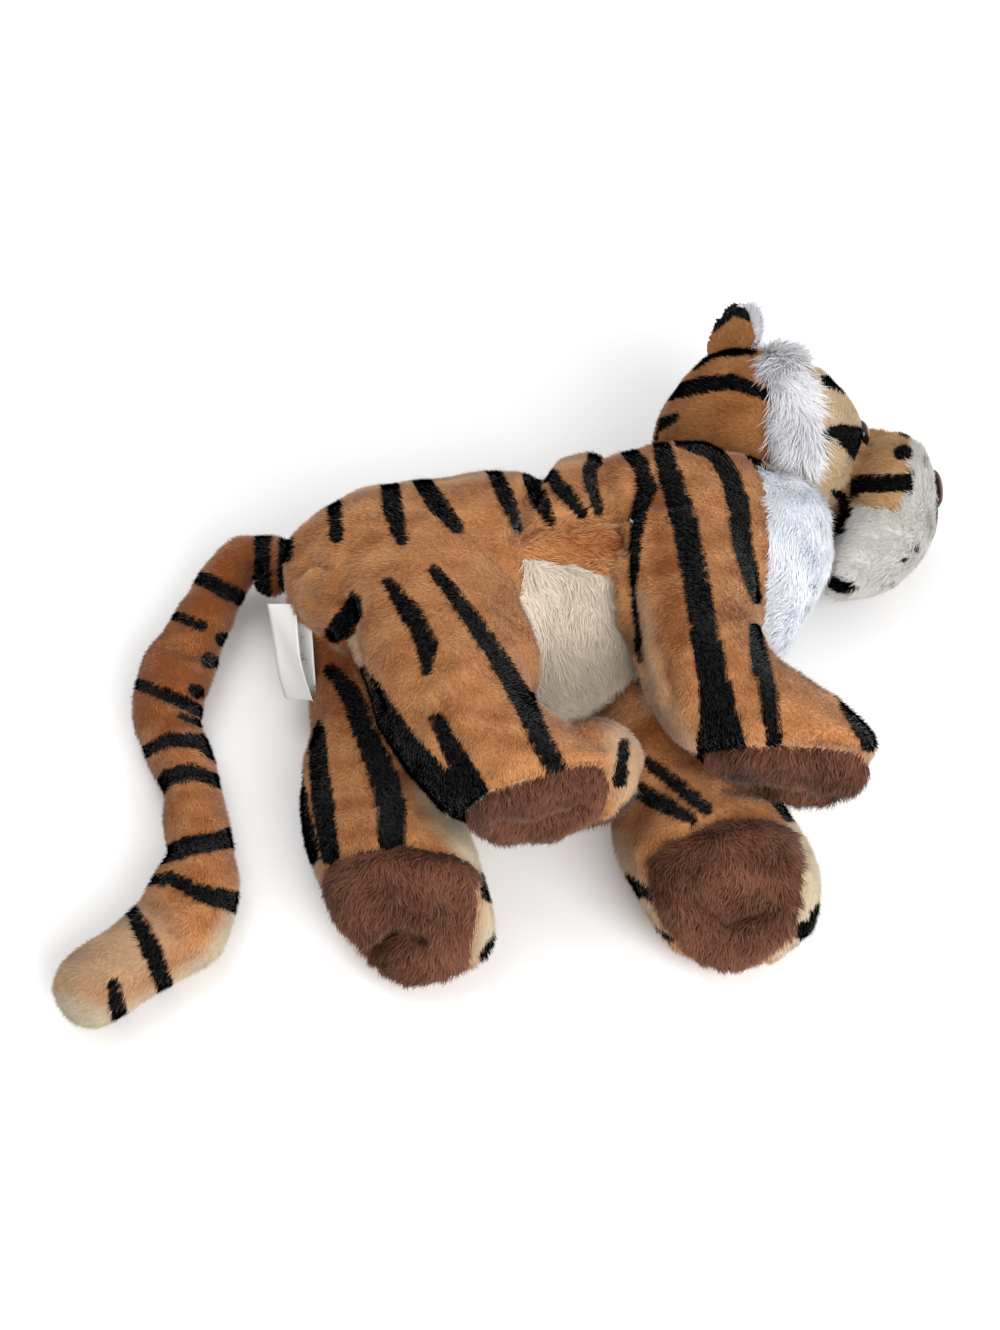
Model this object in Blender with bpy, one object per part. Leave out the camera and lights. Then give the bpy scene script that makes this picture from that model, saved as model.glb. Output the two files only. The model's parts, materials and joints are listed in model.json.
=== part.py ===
"""Floppy plush tiger lying on its left side, as skins, fillings and sewn-on fittings.

X runs towards the head, -Y towards the belly and the feet, +Z up through the tiger's right side.
Every skin, filling and fitting is its own closed solid. Legs, head, ears and tail hang from empties
that stand on their seams, which are the lines that the soft joints turn about.
"""

import math

import bmesh
import bpy
from mathutils import Matrix, Vector

MM = 0.001

# Cloth, seams and working clearances
PLUSH = 3.0 * MM
LONG_PILE_BACKING = 3.4 * MM
SEAM_GAP = 0.3 * MM
SWING_GAP = 0.6 * MM
FILL_GAP = 0.5 * MM
FLOOR_FLAT = 0.5 * MM
OVERRUN = 12.0 * MM

# Body
BODY_LENGTH = 236.0 * MM
BODY_DEPTH = 100.0 * MM
BODY_WIDTH = 99.0 * MM
BELLY_PANEL_LENGTH = 150.0 * MM
BELLY_PANEL_DEPTH = 30.0 * MM
BIB_LENGTH = 30.0 * MM
PELLET_BAG_LENGTH = 92.0 * MM
PELLET_BAG_DEPTH = 40.0 * MM
PELLET_BAG_WIDTH = 56.0 * MM
PELLET_BAG_CUSHION = 4.0 * MM

# Legs
LEG_REACH = 150.0 * MM
FOOT_LENGTH = 72.0 * MM
FOOT_WIDTH = 56.0 * MM
SOLE_CROWN = 7.0 * MM

# Head
HEAD_LENGTH = 102.0 * MM
HEAD_HEIGHT = 83.0 * MM
HEAD_WIDTH = 96.0 * MM
HEAD_FORWARD = 92.0 * MM
HEAD_RISE = 86.0 * MM
NECK_FORWARD = 83.0 * MM
NECK_RISE = 44.0 * MM
MUZZLE_LENGTH = 50.0 * MM
MUZZLE_HEIGHT = 74.0 * MM
MUZZLE_WIDTH = 78.0 * MM
MUZZLE_STAND = 18.0 * MM
MUZZLE_DROP = 10.0 * MM
MUZZLE_SEAM_FORWARD = 8.0 * MM
MUZZLE_SEAM_DROP = 14.0 * MM
FACE_SEAM_FORWARD = 9.0 * MM
RUFF_WIDTH = 22.0 * MM
RUFF_HEIGHT = 66.0 * MM
RUFF_DEPTH = 32.0 * MM
NOSE_WIDTH = 20.0 * MM
NOSE_HEIGHT = 13.0 * MM
NOSE_THICKNESS = 9.0 * MM
EYE_DIAMETER = 12.0 * MM
EYE_SPACING = 34.0 * MM
EYE_RISE = 15.0 * MM
EYE_PROUD = 3.2 * MM
EYE_SHANK = 4.0 * MM
EYE_SHANK_LENGTH = 11.0 * MM
WASHER_DIAMETER = 14.0 * MM
WASHER_THICKNESS = 1.8 * MM
WASHER_ROOM = 1.6 * MM
EAR_WIDTH = 33.0 * MM
EAR_HEIGHT = 40.0 * MM
EAR_THICKNESS = 9.0 * MM

# Tail
TAIL_DIAMETER = 30.0 * MM
TAIL_REACH = 200.0 * MM

# Sewn-in label
LABEL_WIDTH = 20.0 * MM
LABEL_LENGTH = 42.0 * MM
LABEL_THICKNESS = 0.8 * MM

# Angles in degrees
HEAD_PITCH = -22.0
HEAD_TURN = 10.0
NOD_DOWN, NOD_UP = -3.0, 18.0
EAR_FOLD = 20.0
EAR_TURN = 42.0
EAR_LEAN = 16.0
RUFF_LEAN = 30.0
NOSE_LIFT = 48.0
TAIL_SWINGS = ((-18.0, 5.0), (-18.0, 5.0), (-18.0, 10.0), (-18.0, 16.0))

# Mesh counts
BODY_SIDES = 20
LEG_SIDES = 14
LEG_STEPS = 2
HEAD_SIDES = 18
HEAD_RINGS = 10
TAIL_SIDES = 12
SOLE_RINGS = 4
ROUND_STEPS = 4

# How far up a quarter circle a sole's first and last rings lie, and the part of one step that is
# left at either end of a ball
SOLE_RING_SHARES = (0.04, 0.90)
BALL_END_SHARE = 0.35

# Body rings: share of the length from the rump, of half the depth, of half the width,
# and rise of the ring's middle as a share of the depth
BODY_RING_SHARES = (
    (0.000, 0.10, 0.10, 0.02),
    (0.008, 0.30, 0.30, 0.02),
    (0.030, 0.50, 0.50, 0.02),
    (0.070, 0.68, 0.68, 0.02),
    (0.130, 0.82, 0.83, 0.02),
    (0.220, 0.93, 0.94, 0.01),
    (0.330, 1.00, 1.00, 0.00),
    (0.450, 0.96, 0.99, 0.00),
    (0.550, 0.98, 0.99, 0.03),
    (0.660, 1.00, 1.00, 0.05),
    (0.760, 1.03, 1.00, 0.06),
    (0.840, 0.98, 0.94, 0.08),
    (0.910, 0.82, 0.81, 0.13),
    (0.960, 0.60, 0.62, 0.19),
    (0.990, 0.34, 0.36, 0.24),
    (1.000, 0.12, 0.12, 0.26),
)
# Leg rings from hip to sole: middle as shares of the body's length, the leg's reach and the body's
# width, then heading and tilt in degrees, then half sizes as shares of half the foot's
HIND_RIGHT_SHARES = (
    (-0.258, 0.03, 0.76, 0.0, 0.0, 1.10, 0.92),
    (-0.220, 0.34, 0.80, 3.0, 0.0, 0.93, 0.92),
    (-0.182, 0.60, 0.80, 8.0, 4.0, 0.86, 0.92),
    (-0.110, 0.75, 0.79, 12.0, 8.0, 0.92, 0.97),
    (-0.042, 0.83, 0.77, 16.0, 12.0, 0.93, 1.00),
)
FRONT_RIGHT_SHARES = (
    (0.186, 0.02, 0.78, 0.0, 0.0, 1.12, 0.90),
    (0.220, 0.35, 0.81, 0.0, 0.0, 0.72, 0.90),
    (0.246, 0.53, 0.81, 0.0, 4.0, 0.76, 0.92),
    (0.302, 0.66, 0.80, -2.0, 8.0, 0.88, 0.97),
    (0.350, 0.735, 0.79, -4.0, 12.0, 0.94, 1.00),
)
HIND_LEFT_SHARES = (
    (-0.290, 0.03, 0.27, -3.0, 0.0, 1.02, 0.88),
    (-0.320, 0.43, 0.26, -3.0, 0.0, 0.90, 0.88),
    (-0.320, 0.69, 0.27, 0.0, -6.0, 0.96, 0.90),
    (-0.287, 0.89, 0.30, 3.0, -18.0, 1.02, 1.00),
    (-0.260, 1.02, 0.34, 5.0, -33.0, 0.93, 1.10),
)
FRONT_LEFT_SHARES = (
    (0.186, 0.03, 0.27, 0.0, 0.0, 1.10, 0.88),
    (0.212, 0.43, 0.26, 0.0, 0.0, 0.84, 0.88),
    (0.234, 0.67, 0.27, 0.0, -6.0, 0.96, 0.90),
    (0.252, 0.86, 0.30, 0.0, -18.0, 1.06, 1.00),
    (0.268, 0.98, 0.34, 0.0, -33.0, 0.94, 1.10),
)
# Hips: shares of the body's length and of its depth from the body's middle line
HIND_HIP_SHARES = (-0.26, -0.02)
FRONT_HIP_SHARES = (0.19, -0.02)
# Swing limits in degrees, forwards positive
LEGS = (
    ("hind_leg_right", HIND_RIGHT_SHARES, HIND_HIP_SHARES, -6.0, 7.0),
    ("front_leg_right", FRONT_RIGHT_SHARES, FRONT_HIP_SHARES, -10.0, 12.0),
    ("hind_leg_left", HIND_LEFT_SHARES, HIND_HIP_SHARES, -4.0, 8.0),
    ("front_leg_left", FRONT_LEFT_SHARES, FRONT_HIP_SHARES, -6.0, 10.0),
)
# Where the tail's seam lies, as shares of the body's length, depth and width from its middle
TAIL_PLACE_SHARES = (-0.5, 0.25, 0.44)
# The tail's line from that seam: shares of its reach along, up the back and up from the floor,
# then of its diameter. The first row lies inside the body, and each stretch starts at its bend
TAIL_BURIED_SHARES = (0.053, -0.030, 0.015, 0.56)
TAIL_STRETCH_SHARES = (
    (
        "tail_root",
        (0.000, 0.000, 0.000, 0.56),
        (-0.057, 0.050, -0.035, 0.64),
        (-0.120, 0.065, -0.084, 0.84),
        (-0.171, 0.035, -0.129, 0.97),
    ),
    (
        "tail_upper",
        (-0.198, -0.025, -0.144, 1.00),
        (-0.217, -0.115, -0.144, 1.02),
        (-0.240, -0.215, -0.144, 1.02),
        (-0.255, -0.305, -0.144, 1.00),
    ),
    (
        "tail_lower",
        (-0.245, -0.400, -0.144, 0.97),
        (-0.208, -0.490, -0.144, 0.96),
        (-0.179, -0.565, -0.144, 0.97),
        (-0.153, -0.645, -0.144, 0.98),
    ),
    (
        "tail_tip",
        (-0.142, -0.715, -0.144, 1.00),
        (-0.150, -0.790, -0.144, 1.02),
        (-0.177, -0.870, -0.139, 1.06),
        (-0.231, -0.955, -0.139, 1.08),
        (-0.288, -1.002, -0.139, 1.08),
        (-0.328, -1.030, -0.139, 0.92),
        (-0.349, -1.045, -0.139, 0.50),
    ),
)
# Shares of the tail's radius: the ball that each stretch starts with, where it reaches its full
# width, and how far short of the next ball it stops
TAIL_BALL_SHARE = 0.88
TAIL_SHOULDER_SHARE = 0.3
TAIL_SHORT_SHARE = 0.4
# Places on the head as shares of its length, height and width from its middle
EAR_PLACE_SHARES = (-0.275, 0.33, 0.28)
EAR_RAISE_SHARE = 0.17
RUFF_PLACE_SHARES = (0.08, -0.07)
# Where the label's sewn edge lies, as shares of the body's length, depth and width
LABEL_PLACE_SHARES = (-0.515, -0.06, 0.46)
# Which way the label hangs: shares along, up the back and up from the floor
LABEL_HANG_SHARES = (-0.08, -0.80, -0.60)

# Colours, sRGB
COLOURS = {
    "tan_plush": (0.75, 0.54, 0.33),
    "face_plush": (0.79, 0.67, 0.47),
    "white_pile": (0.89, 0.88, 0.87),
    "brown_plush": (0.42, 0.26, 0.20),
    "fibre_fill": (0.93, 0.93, 0.92),
    "pellet_cloth": (0.80, 0.80, 0.78),
    "eye_plastic": (0.05, 0.03, 0.02),
    "washer_plastic": (0.90, 0.90, 0.88),
    "nose_satin": (0.30, 0.16, 0.13),
    "label_satin": (0.95, 0.95, 0.94),
}
ROUGHNESS = {"eye_plastic": 0.12, "washer_plastic": 0.45, "nose_satin": 0.5, "label_satin": 0.6}
CLOTH_ROUGHNESS = 0.95


def clear_scene():
    for obj in list(bpy.data.objects):
        bpy.data.objects.remove(obj, do_unlink=True)


def linear(channel):
    """One sRGB channel as linear light."""
    if channel <= 0.04045:
        return channel / 12.92
    return ((channel + 0.055) / 1.055) ** 2.4


def material(slot, name):
    """The part's own material in one of the toy's finishes."""
    made = bpy.data.materials.new(name)
    made.use_nodes = True
    shader = made.node_tree.nodes["Principled BSDF"]
    colour = [linear(channel) for channel in COLOURS[slot]]
    shader.inputs["Base Color"].default_value = (*colour, 1.0)
    shader.inputs["Roughness"].default_value = ROUGHNESS.get(slot, CLOTH_ROUGHNESS)
    shader.inputs["Metallic"].default_value = 0.0
    made.diffuse_color = (*colour, 1.0)
    return made


def closed_mesh(name, rings):
    """A mesh over rings of equal count, capped flat at its first and last ring."""
    mesh = bmesh.new()
    loops = [[mesh.verts.new(point) for point in ring] for ring in rings]
    sides = len(loops[0])
    for near, far in zip(loops, loops[1:]):
        for i in range(sides):
            j = (i + 1) % sides
            mesh.faces.new((near[i], near[j], far[j], far[i]))
    mesh.faces.new(loops[0][::-1])
    mesh.faces.new(loops[-1])
    bmesh.ops.recalc_face_normals(mesh, faces=mesh.faces)
    bmesh.ops.triangulate(mesh, faces=mesh.faces)
    data = bpy.data.meshes.new(name)
    mesh.to_mesh(data)
    mesh.free()
    data.shade_smooth()
    return data


def place(name, data, parent, slot=None):
    """An object over a mesh made in the toy's own frame: a sub-part with a slot, else a cutter."""
    obj = bpy.data.objects.new(name, data)
    bpy.context.scene.collection.objects.link(obj)
    obj.parent = parent
    obj.matrix_parent_inverse = parent.matrix_world.inverted()
    if slot:
        if not data.materials:
            data.materials.append(material(slot, name))
    else:
        obj.hide_render = True
        obj.display_type = "WIRE"
    return obj


def carve(obj, cutter, operation="DIFFERENCE"):
    """Leaves an exact Boolean on the sub-part."""
    modifier = obj.modifiers.new(f"{operation.lower()} {cutter.name}", "BOOLEAN")
    modifier.operation = operation
    modifier.object = cutter
    modifier.solver = "EXACT"


def empty_at(name, point, parent=None):
    pivot = bpy.data.objects.new(name, None)
    bpy.context.scene.collection.objects.link(pivot)
    pivot.empty_display_size = FOOT_WIDTH
    pivot.location = point
    if parent:
        pivot.parent = parent
        pivot.matrix_parent_inverse = parent.matrix_world.inverted()
    bpy.context.view_layer.update()
    return pivot


def ring_points(centre, across, over, sides):
    return [
        centre + across * math.cos(2 * math.pi * i / sides) + over * math.sin(2 * math.pi * i / sides)
        for i in range(sides)
    ]


def points_of(form, sides):
    return [ring_points(centre, across, over, sides) for centre, across, over in form]


def lengthened(vector, by):
    return vector.normalized() * (vector.length + by)


def resized(form, by, ends=0.0):
    """The form with its rings grown by one distance and its ends moved outwards by another."""
    rings = [(centre.copy(), lengthened(across, by), lengthened(over, by)) for centre, across, over in form]
    for end in (0, -1):
        beside = 1 if end == 0 else -2
        out = (form[end][0] - form[beside][0]).normalized()
        centre, across, over = rings[end]
        centre = centre + out * ends
        while len(rings) > 2 and (centre - rings[beside][0]).dot(out) <= 0:
            rings.pop(beside)
        rings[end] = (centre, across, over)
    return rings


def run_through(form, start, end):
    """The form with a like ring added beyond either end, square to its last one."""
    rings = list(form)
    for place_in, beside, by in ((0, 1, start), (len(form), -2, end)):
        if by:
            centre, across, over = form[0 if place_in == 0 else -1]
            out = across.cross(over).normalized()
            if out.dot(centre - form[beside][0]) < 0:
                out.negate()
            rings.insert(place_in if place_in == 0 else len(rings), (centre + out * by, across, over))
    return rings


def moved(form, offset):
    return [(centre + offset, across, over) for centre, across, over in form]


def settled(form, sides):
    """The form lowered or raised until its lowest point lies the floor flat's depth below the floor."""
    lowest = min(point.z for ring in points_of(form, sides) for point in ring)
    return moved(form, Vector((0, 0, -FLOOR_FLAT - lowest)))


def curve_rows(rows, steps):
    """Rows of a table with smooth rows added between them."""
    found = []
    for i in range(len(rows) - 1):
        before, start, end = rows[max(i - 1, 0)], rows[i], rows[i + 1]
        after = rows[min(i + 2, len(rows) - 1)]
        for step in range(steps):
            t = step / steps
            found.append(
                tuple(
                    b + t * (c - a + t * (2 * a - 5 * b + 4 * c - d + t * (3 * b - a - 3 * c + d))) / 2
                    if step
                    else b
                    for a, b, c, d in zip(before, start, end, after)
                )
            )
    found.append(rows[-1])
    return found


def ball(centre, forward, up, side, rings):
    """An ellipsoid's form along its forward half axis."""
    form = []
    for i in range(rings + 1):
        angle = math.pi * (i + BALL_END_SHARE) / (rings + 2 * BALL_END_SHARE)
        form.append((centre - forward * math.cos(angle), up * math.sin(angle), side * math.sin(angle)))
    return form


def box_mesh(name, centre, forward, up, side):
    """A box from its centre and half edges."""
    rings = []
    for end in (-1, 1):
        middle = centre + forward * end
        rings.append([middle + up + side, middle - up + side, middle - up - side, middle + up - side])
    data = closed_mesh(name, rings)
    data.shade_flat()
    return data


def turned(axis_point, degrees, axis=Vector((0, 0, 1))):
    """The matrix that turns something about an axis through a point."""
    there = Matrix.Translation(axis_point)
    return there @ Matrix.Rotation(math.radians(degrees), 4, axis) @ there.inverted()


def swing_cutters(name, still, pivot, low, high, root, axis=Vector((0, 0, 1))):
    """What stands still at rest, and turned the other way to each limit of a moving piece's swing."""
    close, wide = still
    cutters = [place(f"{name}_rest", close, root)]
    for limit, angle in (("low", low), ("high", high)):
        cutter = place(f"{name}_{limit}", wide, root)
        cutter.matrix_basis = turned(pivot, -angle, axis)
        cutters.append(cutter)
    return cutters


def body_form():
    form = []
    middle = BODY_WIDTH / 2 - FLOOR_FLAT
    for along, depth, width, rise in BODY_RING_SHARES:
        centre = Vector(((along - 0.5) * BODY_LENGTH, rise * BODY_DEPTH, middle))
        form.append((centre, Vector((0, depth * BODY_DEPTH / 2, 0)), Vector((0, 0, width * BODY_WIDTH / 2))))
    return form


def leg_form(rows):
    """Rings from hip to sole, each square to its own heading and tilt."""
    form = []
    for along, down, up, heading, tilt, fore, side in curve_rows(rows, LEG_STEPS):
        turn = math.radians(heading)
        lean = math.radians(tilt)
        centre = Vector((along * BODY_LENGTH, -down * LEG_REACH, up * BODY_WIDTH))
        axis = Vector((math.sin(turn) * math.cos(lean), -math.cos(turn) * math.cos(lean), -math.sin(lean)))
        across = Vector((math.cos(turn), math.sin(turn), 0))
        over = across.cross(axis)
        form.append((centre, across * fore * FOOT_LENGTH / 2, over * side * FOOT_WIDTH / 2))
    return form


def sole_form(ring, axis, lift, rise, grow):
    """A crowned cap over the last ring of a leg: a rounded rim, then a low dome."""
    centre, across, over = ring
    form = []
    low, high = SOLE_RING_SHARES
    for i in range(SOLE_RINGS):
        angle = math.pi / 2 * (low + (high - low) * i / (SOLE_RINGS - 1))
        wide = math.cos(angle)
        middle = centre + axis * (lift + rise * math.sin(angle))
        form.append((middle, lengthened(across, grow) * wide, lengthened(over, grow) * wide))
    return form


def add_leg(name, rows, hip_shares, low, high, shapes):
    """One leg: open plush tube, filling and crowned sole, hung from an empty at its hip."""
    root, body, floor = shapes["root"], shapes["body_cutter"], shapes["floor"]
    form = leg_form(rows)
    if name.endswith("left"):
        form = settled(form, LEG_SIDES)
    hip = Vector((hip_shares[0] * BODY_LENGTH, hip_shares[1] * BODY_DEPTH, form[0][0].z))
    pivot = empty_at(f"{name}_hip", hip, root)
    last, across, over = form[-1]
    axis = over.cross(across).normalized()
    if axis.y > 0:
        axis = -axis
    sweep = swing_cutters(f"{name}_body_cutter", body, hip, low, high, root)

    def leg_mesh(kind, rings):
        return closed_mesh(f"{name}_{kind}", points_of(rings, LEG_SIDES))

    skin = place(f"{name}_skin", leg_mesh("skin", form), pivot, "tan_plush")
    hollow = leg_mesh("hollow", run_through(resized(form, -PLUSH), OVERRUN, OVERRUN))
    carve(skin, place(f"{name}_hollow_cutter", hollow, root))

    core = resized(form, -PLUSH - FILL_GAP)
    core_end = core.pop()
    bulge = sole_form(core_end, axis, 0.0, SOLE_CROWN - PLUSH - FILL_GAP, 0.0)
    filling = place(f"{name}_filling", leg_mesh("filling", core + bulge), pivot, "fibre_fill")

    rim = (last, across, over)
    outside = sole_form(rim, axis, SEAM_GAP, SOLE_CROWN, 0.0)
    inside = sole_form(rim, axis, SEAM_GAP, SOLE_CROWN - PLUSH, -PLUSH)
    sole = place(f"{name}_sole", leg_mesh("sole", inside[::-1] + outside), pivot, "brown_plush")

    for cutter in sweep:
        carve(skin, cutter)
        carve(filling, cutter)
    if name.endswith("left"):
        carve(skin, floor)
        carve(sole, floor)


def add_body(shapes):
    """Body: plush shell with its white belly panel and bib, fibre filling and pellet bag."""
    root, floor = shapes["root"], shapes["floor"]
    form = body_form()
    outer = closed_mesh("body_skin", points_of(form, BODY_SIDES))

    def body_mesh(name, grow):
        return closed_mesh(name, points_of(resized(form, grow, grow), BODY_SIDES))

    hollow = place("body_hollow_cutter", body_mesh("hollow", -PLUSH), root)
    shapes["body_cutter"] = [body_mesh("body_close", SEAM_GAP), body_mesh("body_wide", SWING_GAP)]

    middle = BODY_WIDTH / 2
    belly_top = -BODY_DEPTH / 2 + BELLY_PANEL_DEPTH
    bib_back = BODY_LENGTH / 2 - BIB_LENGTH

    def belly_box(name, shrink):
        half = Vector((BELLY_PANEL_LENGTH / 2 - shrink, 0, 0))
        deep = BODY_DEPTH / 2
        centre = Vector((bib_back - BELLY_PANEL_LENGTH / 2 - SEAM_GAP, belly_top - deep - shrink, middle))
        return box_mesh(name, centre, half, Vector((0, deep, 0)), Vector((0, 0, BODY_WIDTH)))

    def bib_box(name, shrink):
        half = Vector((BIB_LENGTH, 0, 0))
        centre = Vector((bib_back + BIB_LENGTH + shrink, 0, middle))
        return box_mesh(name, centre, half, Vector((0, BODY_DEPTH, 0)), Vector((0, 0, BODY_WIDTH)))

    skin = place("body_skin", outer, root, "tan_plush")
    belly = place("belly_panel", outer.copy(), root)
    bib = place("chest_bib", outer.copy(), root)
    for panel in (belly, bib):
        panel.hide_render = False
        panel.display_type = "TEXTURED"
        panel.data.materials.clear()
        panel.data.materials.append(material("white_pile", panel.name))
    carve(skin, hollow)
    carve(skin, place("belly_window_cutter", belly_box("belly_window", 0.0), root))
    carve(skin, place("bib_window_cutter", bib_box("bib_window", 0.0), root))
    carve(belly, hollow)
    carve(belly, place("belly_edge_cutter", belly_box("belly_edge", SEAM_GAP), root), "INTERSECT")
    carve(bib, hollow)
    carve(bib, place("bib_edge_cutter", bib_box("bib_edge", SEAM_GAP), root), "INTERSECT")

    filling = place("body_filling", body_mesh("body_filling", -PLUSH - FILL_GAP), root, "fibre_fill")
    bag_place = Vector((0, -BODY_DEPTH / 2 + PLUSH + PELLET_BAG_CUSHION + PELLET_BAG_DEPTH / 2, middle))

    def bag_form(grow):
        forward = Vector((PELLET_BAG_LENGTH / 2 + grow, 0, 0))
        up = Vector((0, PELLET_BAG_DEPTH / 2 + grow, 0))
        side = Vector((0, 0, PELLET_BAG_WIDTH / 2 + grow))
        return ball(bag_place, forward, up, side, TAIL_SIDES // 2)

    bag = closed_mesh("pellet_bag", points_of(bag_form(0.0), TAIL_SIDES))
    place("pellet_bag", bag, root, "pellet_cloth")
    pocket = closed_mesh("pellet_pocket", points_of(bag_form(FILL_GAP), TAIL_SIDES))
    carve(filling, place("pellet_pocket_cutter", pocket, root))
    mouth = box_mesh(
        "pellet_mouth",
        bag_place - Vector((0, PELLET_BAG_DEPTH / 2, 0)),
        Vector((PELLET_BAG_LENGTH / 4, 0, 0)),
        Vector((0, PELLET_BAG_DEPTH / 4, 0)),
        Vector((0, 0, PELLET_BAG_WIDTH / 4)),
    )
    carve(filling, place("pellet_mouth_cutter", mouth, root))
    for piece in (skin, belly):
        carve(piece, floor)


def head_axes():
    """Forward, up and the tiger's right, for the pitched and turned head."""
    pitch, turn = math.radians(HEAD_PITCH), math.radians(HEAD_TURN)
    forward = Vector((math.cos(pitch) * math.cos(turn), math.sin(pitch) * math.cos(turn), -math.sin(turn)))
    up = Vector((-math.sin(pitch), math.cos(pitch), 0))
    return forward, up, forward.cross(up)


def skull_form(centre, axes, grow):
    forward, up, side = axes
    return ball(
        centre,
        forward * (HEAD_LENGTH / 2 + grow),
        up * (HEAD_HEIGHT / 2 + grow),
        side * (HEAD_WIDTH / 2 + grow),
        HEAD_RINGS,
    )


def muzzle_middle(centre, axes):
    return centre + axes[0] * (HEAD_LENGTH / 2 + MUZZLE_STAND) - axes[1] * MUZZLE_DROP


def muzzle_form(centre, axes, grow):
    forward, up, side = axes
    return ball(
        muzzle_middle(centre, axes),
        forward * (MUZZLE_LENGTH / 2 + grow),
        up * (MUZZLE_HEIGHT / 2 + grow),
        side * (MUZZLE_WIDTH / 2 + grow),
        HEAD_RINGS - 2,
    )


def turned_form(centre, axis, rows):
    """Round rings about an axis: each row is a distance along it and a radius."""
    across = axis.orthogonal().normalized()
    over = axis.cross(across)
    return [(centre + axis * along, across * radius, over * radius) for along, radius in rows]


def add_eye(name, mirror, centre, axes, pivot, shapes):
    """A domed eye on a shank, held inside the face by a locking washer."""
    forward, up, side = axes
    rise, across = EYE_RISE / (HEAD_HEIGHT / 2), EYE_SPACING / HEAD_WIDTH
    out = math.sqrt(1 - rise * rise - across * across)
    seat = centre + forward * out * HEAD_LENGTH / 2 + up * EYE_RISE + side * mirror * EYE_SPACING / 2
    normal = forward * out / HEAD_LENGTH + up * rise / HEAD_HEIGHT + side * mirror * across / HEAD_WIDTH
    normal.normalize()
    radius, shank, washer = EYE_DIAMETER / 2, EYE_SHANK / 2, WASHER_DIAMETER / 2
    rows = [(SEAM_GAP - EYE_SHANK_LENGTH, shank), (SEAM_GAP, shank), (SEAM_GAP, radius)]
    for step in range(1, ROUND_STEPS):
        angle = math.pi / 2 * step / ROUND_STEPS
        rows.append((SEAM_GAP + EYE_PROUD * math.sin(angle), radius * math.cos(angle)))
    eye = closed_mesh(name, points_of(turned_form(seat, normal, rows), TAIL_SIDES))
    place(name, eye, pivot, "eye_plastic")

    top = -PLUSH - washer * washer / HEAD_HEIGHT - WASHER_ROOM
    bottom = top - WASHER_THICKNESS
    hole = shank + SEAM_GAP
    rows = [(bottom, hole), (bottom, washer), (top, washer), (top, hole)]
    rings = points_of(turned_form(seat, normal, rows), TAIL_SIDES)
    place(f"{name}_washer", ring_mesh(f"{name}_washer", rings), pivot, "washer_plastic")

    hole_rows = [(-EYE_SHANK_LENGTH, hole), (OVERRUN, hole)]
    bore = closed_mesh("eye_hole", points_of(turned_form(seat, normal, hole_rows), TAIL_SIDES))
    carve(shapes["face"], place(f"{name}_hole_cutter", bore, pivot))
    deep = -EYE_SHANK_LENGTH - FILL_GAP
    under, room = bottom - FILL_GAP, washer + FILL_GAP
    rows = [(deep, hole), (under, hole), (under, room), (0, room)]
    pocket = closed_mesh("eye_pocket", points_of(turned_form(seat, normal, rows), TAIL_SIDES))
    carve(shapes["head_filling"], place(f"{name}_pocket_cutter", pocket, pivot))


def ring_mesh(name, rings):
    """A mesh over rings whose last joins its first, as on a washer."""
    mesh = bmesh.new()
    loops = [[mesh.verts.new(point) for point in ring] for ring in rings]
    sides = len(loops[0])
    for near, far in zip(loops, loops[1:] + loops[:1]):
        for i in range(sides):
            j = (i + 1) % sides
            mesh.faces.new((near[i], near[j], far[j], far[i]))
    bmesh.ops.recalc_face_normals(mesh, faces=mesh.faces)
    bmesh.ops.triangulate(mesh, faces=mesh.faces)
    data = bpy.data.meshes.new(name)
    mesh.to_mesh(data)
    mesh.free()
    return data


def add_ear(name, mirror, centre, axes, head_pivot, skull, shapes):
    """A rounded ear in two plush halves that fold together about its seam on the skull."""
    forward, up, side = axes
    along, rise, out = EAR_PLACE_SHARES
    base = centre + forward * along * HEAD_LENGTH + up * rise * HEAD_HEIGHT + side * mirror * out * HEAD_WIDTH
    lean, turn = math.radians(EAR_LEAN), math.radians(EAR_TURN)
    tip = (up * math.cos(lean) + (side * mirror - forward) * math.sin(lean)).normalized()
    front = forward * math.cos(turn) - side * mirror * math.sin(turn)
    front = (front - tip * front.dot(tip)).normalized()
    width = tip.cross(front)
    pivot = empty_at(f"{name}_fold", base, head_pivot)
    middle = base + tip * EAR_RAISE_SHARE * EAR_HEIGHT
    half_sizes = (width * EAR_WIDTH / 2, tip * EAR_HEIGHT / 2, front * EAR_THICKNESS / 2)
    lens = ball(middle, *half_sizes, TAIL_SIDES // 2)
    cutters = swing_cutters(f"{name}_skull", skull, base, -EAR_FOLD, EAR_FOLD, shapes["root"], width)
    for half, slot, facing in ((f"{name}_back", "tan_plush", -1), (f"{name}_lining", "white_pile", 1)):
        piece = place(half, closed_mesh(half, points_of(lens, TAIL_SIDES)), pivot, slot)
        reach = front * facing * EAR_THICKNESS
        box = box_mesh(
            half, middle + reach + front * facing * SEAM_GAP / 2, reach, tip * EAR_HEIGHT, width * EAR_WIDTH
        )
        carve(piece, place(f"{half}_side_cutter", box, shapes["root"]), "INTERSECT")
        for cutter in cutters:
            carve(piece, cutter)
        if mirror < 0:
            carve(piece, shapes["floor"])
    print("axis", name, tuple(round(value, 5) for value in width))


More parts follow.
